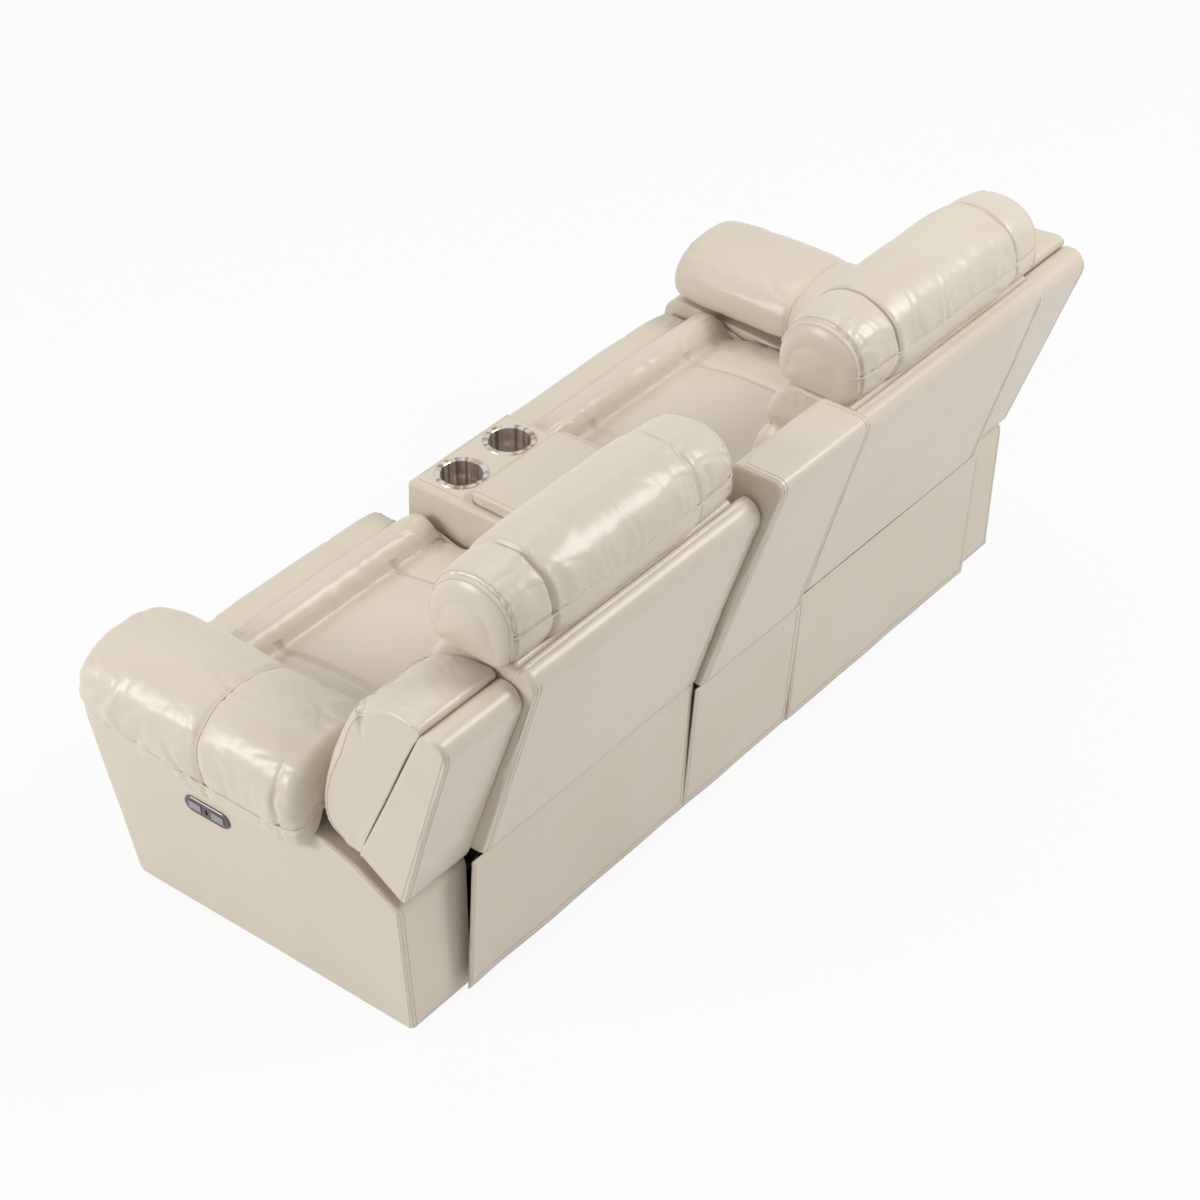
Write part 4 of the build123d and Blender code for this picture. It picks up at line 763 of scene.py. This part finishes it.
class LOVESEAT_OT_seats(bpy.types.Operator):
    """Seat cushions with their front rolls, and the leg-rest pads"""

    bl_idname = "loveseat.seats"
    bl_label = "Seats"

    def execute(self, context):
        for name, side in SIDES:
            self.seat(name, side)
            self.legrest(name, side)
        return {"FINISHED"}

    def seat(self, name, side):
        """Seat cushion with a raised front roll and two seams from front to rear."""
        folds, waves = loose()
        near, far, seams, roll_y = 170, 766, (0.305, 0.625), -0.296
        full = [
            (112, 346), (113, 375), (104, 403), (40, 420), (-60, 427), (-160, 425), (-250, 413), (-290, 402),
            (-303, 426), (-322, 446), (-345, 450), (-367, 436), (-377, 405), (-376, 370), (-370, 346),
            (-250, 346), (-100, 346), (40, 346),
        ]
        drawn = [
            (108, 346), (108, 368), (98, 388), (40, 397), (-60, 400), (-160, 399), (-250, 394), (-290, 388),
            (-305, 402), (-324, 414), (-345, 418), (-362, 409), (-370, 389), (-369, 366), (-364, 346),
            (-250, 346), (-100, 346), (40, 346),
        ]
        form = stuffed(full, drawn, (5, 5), even(10), far - near)
        place = spanning_x(side, near, far)

        def relief(u, v, spot):
            x, ends, girth = abs(spot.x), from_ends(spot, near, far), 1.2
            panel = spot.y > -0.3
            return (v < 0.83) * (
                panel * sum(groove(x - s, 0.008, 0.006) for s in seams)
                + pucker(v * girth, ends, folds * 1.6, side * 41, 0.04, 0.05) * closing_in(u)
                + pucker(x, abs(spot.y - roll_y), folds * 0.9, side * 43, 0.06, 0.05)
                + slack(spot, waves, side * 14)
            )

        cover(f"{name}_seat_cover", form, place, relief, "base", [f"{name}_seat_cushion"], 150, 190)

    def legrest(self, name, side):
        """Leg-rest pad with diagonal seams above a stitched cross seam."""
        folds, waves = loose()
        near, far = 176, 760

        def section(*points):
            return [(-396 - (z - 290) * tan(radians(6)) - depth, z) for depth, z in points]

        full = section(
            (15.6, 93), (60, 86), (84, 108), (88, 180), (88, 260), (84, 330), (74, 376), (54, 400), (24, 404),
            (-6, 402), (-18, 392), (-14, 387), (15.6, 386), (15.6, 300), (15.6, 200),
        )
        drawn = section(
            (15.6, 96), (46, 96), (62, 118), (66, 180), (66, 260), (62, 330), (54, 366), (40, 388), (20, 394),
            (-4, 394), (-14, 390), (-12, 387), (15.6, 386), (15.6, 300), (15.6, 200),
        )
        form = stuffed(full, drawn, edge=even(10), span=far - near)
        place = spanning_x(side, near, far)

        def relief(u, v, spot):
            x, ends, girth = abs(spot.x), from_ends(spot, near, far), 0.8
            shift = (spot.z - 0.3) * 0.5
            diagonal = min(abs(x - 0.26 - shift), abs(x - 0.676 + shift))
            return (v < 0.7) * (
                groove(spot.z - 0.345, 0.003, 0.006) * (spot.y < -0.45)
                + groove(diagonal, 0.003, 0.005) * (spot.z > 0.3)
                + pucker(v * girth, ends, folds * 1.4, side * 51, 0.024, 0.05) * closing_in(u)
                + slack(spot, waves, side * 16)
            )

        body, node = f"{name}_legrest", f"{name}_legrest_pad"
        piece = cover(f"{name}_legrest_cover", form, place, relief, body, [node], 120, 130)
        row = [Vector((side * x, -486, 352)) * MM for x in range(190, 750, 20)]
        stitches(f"{name}_legrest_stitches", piece, [row], body)


class LOVESEAT_OT_console(bpy.types.Operator):
    """Padded lid, centre back and the stitching of the console"""

    bl_idname = "loveseat.console"
    bl_label = "Console"

    def execute(self, context):
        self.lid()
        self.centre()
        rows = []
        for x in (-138, 138):
            rows.append([Vector((x, y, 487)) * MM for y in range(-375, -255, 10)])
            rows.append([Vector((x, y, 487)) * MM for y in range(80, 232, 10)])
        rows.append([Vector((x, -380, 487)) * MM for x in range(-136, 138, 10)])
        stitches("console_stitches", frame["nodes"]["console_cover"], rows, "base")
        return {"FINISHED"}

    def lid(self):
        """Padded lid with a low crown, stitched along its front and sides."""
        half = 138
        full = outline([(-252, 490.5), (-252, 513), (66, 513), (66, 490.5)], [3, 9, 9, 3], 8)
        drawn = outline([(-240, 490.5), (-240, 510), (62, 510), (62, 490.5)], [3, 8, 8, 3], 8)
        count = min(len(full), len(drawn))
        form = stuffed(full[:count], drawn[:count], (12, 12), rim(9, 26, -0.1, 0.12), 2 * half)
        place = spanning_x(1, -half, half)

        def relief(u, v, spot):
            crown = 0.003 * (1 - (spot.x / (half * MM)) ** 2) * (1 - ((spot.y + 0.093) / 0.159) ** 2)
            return (spot.z > 0.505) * max(crown, 0) + slack(spot, 0.0006, 18, 0.08)

        piece = cover("lid_cover", form, place, relief, "lid", ["lid_pad"], 90, 120)
        edge = [Vector((x, -243, 514)) * MM for x in range(-125, 130, 10)]
        sides = [[Vector((x, y, 514)) * MM for y in range(-240, 60, 10)] for x in (-129, 129)]
        stitches("lid_stitches", piece, [edge, *sides], "lid")

    def centre(self):
        """Fixed back behind the console, narrower at the top, stitched along its side edges."""
        def rear(z):
            return 329.3 + (z - 330) * tan(radians(17.2))

        def half(z):
            return 160 - 21 * (z - 330) / 520

        corners = [(235.5, 331), (235.5, 487), (rear(850) - 120, 850), (rear(850), 850), (rear(331), 331)]
        side_view = outline(corners, [3, 30, 26, 20, 3])
        form = stuffed(side_view, side_view, edge=even(12), span=300)
        place = spanning_x(1, lambda z: -half(z), half)

        def relief(u, v, spot):
            return slack(spot, 0.0014, 22, 0.16)

        piece = cover("centre_back_panel", form, place, relief, "base", ["centre_back_cover"], 80, 150)
        rows = []
        for side in (-1, 1):
            for inset in (9, 18):
                line = [Vector((side * (half(z) - inset), rear(z), z)) * MM for z in range(338, 840, 15)]
                line += [Vector((side * (half(850) - inset), y, 851)) * MM for y in range(478, 385, -10)]
                rows.append(line)
        stitches("centre_back_stitches", piece, rows, "base")


class LOVESEAT_OT_flaps(bpy.types.Operator):
    """Flaps that hang from the backs, the centre's skirt, and the aprons between seats and backs"""

    bl_idname = "loveseat.flaps"
    bl_label = "Flaps"

    def execute(self, context):
        for name, side in SIDES:
            for piece in self.hanging(f"{name}_flap", side, 168, 800, 323, 344, f"{name}_rear_flap"):
                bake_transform(piece)
            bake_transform(self.apron(name, side))
        for piece in self.hanging("skirt", 1, -167, 167, 329, 330, "centre_skirt"):
            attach(piece, "base")
        return {"FINISHED"}

    def sheet(self, name, spot):
        """Thin leather sheet through the points that spot gives for shares across and up."""
        mesh = bmesh.new()
        bmesh.ops.create_grid(mesh, x_segments=80, y_segments=50, size=0.5)
        for vert in mesh.verts:
            vert.co = spot(vert.co.x + 0.5, vert.co.y + 0.5)
        bmesh.ops.recalc_face_normals(mesh, faces=mesh.faces)
        bmesh.ops.solidify(mesh, geom=mesh.faces[:], thickness=bpy.context.scene.loveseat_sizes.flap)
        return keep(name, mesh, bpy.data.materials["ivory_leather"], None)

    def hanging(self, name, side, near, far, top_y, top_z, node):
        """Hemmed sheet from a top edge down to near the floor, with its stitches."""
        foot, foot_y, hem, edge, calm = 28, 304, 14, 9, 60  # the waves die out over the calm sides
        width, height = far - near, top_z - foot

        def spot(across, up):
            x, y, z = near + width * across, foot_y + (top_y - foot_y) * up, foot + height * up
            inside = min(min(across, 1 - across) * width / calm, 1)
            wave = 4.0 * inside * noise.noise(Vector((x / 160, z / 260, side * 3))) * (1 - up) ** 0.7
            return Vector((side * x, y - 2 + wave, z)) * MM

        piece = self.sheet(name, spot)
        outside = Vector((0, 0.004, 0))
        rows = [[spot(k / 80, hem / height) + outside for k in range(2, 79)]]
        for across in (edge / width, 1 - edge / width):
            rows.append([spot(across, k / 50) + outside for k in range(2, 50)])
        thread = stitches(f"{name}_stitches", piece, rows, None)
        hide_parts(node)
        return piece, thread

    def apron(self, name, side):
        """Slack sheet from the seat's rear to the back cushion's foot."""
        near, far, drop = 174, 768, 234
        section = [(104, 356), (113, 330), (136, 312), (165, 328), (186, 372), (196, 420), (200, 446)]
        curve = [Vector(p) for p in section]

        def spot(across, up):
            x, point = near + (far - near) * across, ring(curve, up * (1 - 1 / len(curve)))
            wave = 3.0 * noise.noise(Vector((x / 110, up * 2, side * 3))) * sin(pi * up)
            return Vector((side * x, point.x + wave, point.y)) * MM

        piece = self.sheet(f"{name}_apron", spot)
        return piece


class LOVESEAT_OT_stage(bpy.types.Operator):
    """Floor, soft studio light and the photograph's camera"""

    bl_idname = "loveseat.stage"
    bl_label = "Stage"

    def execute(self, context):
        scene = context.scene
        mesh = bmesh.new()
        bmesh.ops.create_grid(mesh, x_segments=1, y_segments=1, size=14)
        keep("floor", mesh, self.floor(scene.loveseat_colours.floor), None)
        world = bpy.data.worlds.new("studio")
        world.use_nodes = True
        scene.world = world
        tree = world.node_tree
        seen = add(tree, "ShaderNodeBackground", Color=(1, 1, 1, 1), Strength=1.0)
        light = add(tree, "ShaderNodeBackground", Color=(1, 0.99, 0.98, 1), Strength=0.43)
        both = add(tree, "ShaderNodeMixShader", shown(tree), light.outputs[0], seen.outputs[0])
        tree.links.new(both.outputs[0], tree.nodes["World Output"].inputs["Surface"])
        self.lamp("key", (-0.6, -0.9, 4.6), 2.4, 30)
        self.lamp("side", (4.6, -2.4, 2.7), 2.0, 134)
        self.lamp("rear", (-2.6, 3.0, 4.2), 2.0, 135)
        self.camera(scene)
        scene.view_settings.view_transform = "Standard"
        return {"FINISHED"}

    def floor(self, tint):
        """Pale floor that the camera sees nearly white, with a faint shadow."""
        material, tree, surface = finish("studio_floor", tint, 0.9)
        share = add(tree, "ShaderNodeMath", shown(tree), 0.92, operation="MULTIPLY").outputs[0]
        glow = add(tree, "ShaderNodeEmission", Color=(1, 1, 1, 1), Strength=1.0)
        both = add(tree, "ShaderNodeMixShader", share, surface.outputs[0], glow.outputs[0])
        tree.links.new(both.outputs[0], tree.nodes["Material Output"].inputs["Surface"])
        return material

    def lamp(self, name, place, size, power):
        """Square soft box that faces the middle of the object."""
        data = bpy.data.lights.new(name, "AREA")
        data.size, data.energy = size, power
        lamp = bpy.data.objects.new(name, data)
        lamp.location = place
        lamp.rotation_euler = (Vector((0, 0, 0.45)) - lamp.location).to_track_quat("-Z", "Y").to_euler()
        bpy.context.scene.collection.objects.link(lamp)

    def camera(self, scene):
        """Camera at the photograph's view."""
        data = bpy.data.cameras.new("camera")
        data.lens = scene.loveseat_sizes.lens
        camera = bpy.data.objects.new("camera", data)
        camera.location = (3.828, 3.017, 4.026)
        camera.rotation_euler = Vector((-0.6203, -0.4945, -0.6088)).to_track_quat("-Z", "Y").to_euler()
        scene.collection.objects.link(camera)
        scene.camera = camera


class LOVESEAT_PT_panel(bpy.types.Panel):
    """Sidebar panel with one button for each group of pieces"""

    bl_idname = "LOVESEAT_PT_panel"
    bl_label = "Loveseat"
    bl_space_type = "VIEW_3D"
    bl_region_type = "UI"
    bl_category = "Loveseat"

    def draw(self, context):
        for operator in OPERATORS:
            self.layout.operator(operator.bl_idname)


OPERATORS = (
    LOVESEAT_OT_finishes, LOVESEAT_OT_arms, LOVESEAT_OT_backs, LOVESEAT_OT_seats, LOVESEAT_OT_console,
    LOVESEAT_OT_flaps, LOVESEAT_OT_stage,
)
CLASSES = (LoveseatSizes, LoveseatColours, *OPERATORS, LOVESEAT_PT_panel)


def register():
    for cls in CLASSES:
        bpy.utils.register_class(cls)
    bpy.types.Scene.loveseat_sizes = PointerProperty(type=LoveseatSizes)
    bpy.types.Scene.loveseat_colours = PointerProperty(type=LoveseatColours)


def unregister():
    del bpy.types.Scene.loveseat_colours
    del bpy.types.Scene.loveseat_sizes
    for cls in reversed(CLASSES):
        bpy.utils.unregister_class(cls)


def main():
    """Registers the add-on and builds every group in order."""
    register()
    boxes = [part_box(node) for node in frame["nodes"]]
    lows, highs = (list(zip(*corners)) for corners in zip(*boxes))
    cad = [[min(axis) for axis in lows], [max(axis) for axis in highs]]
    bpy.ops.loveseat.finishes()
    bpy.ops.loveseat.arms()
    bpy.ops.loveseat.backs()
    bpy.ops.loveseat.seats()
    bpy.ops.loveseat.console()
    bpy.ops.loveseat.flaps()
    bpy.ops.loveseat.stage()


if __name__ == "__main__":
    main()
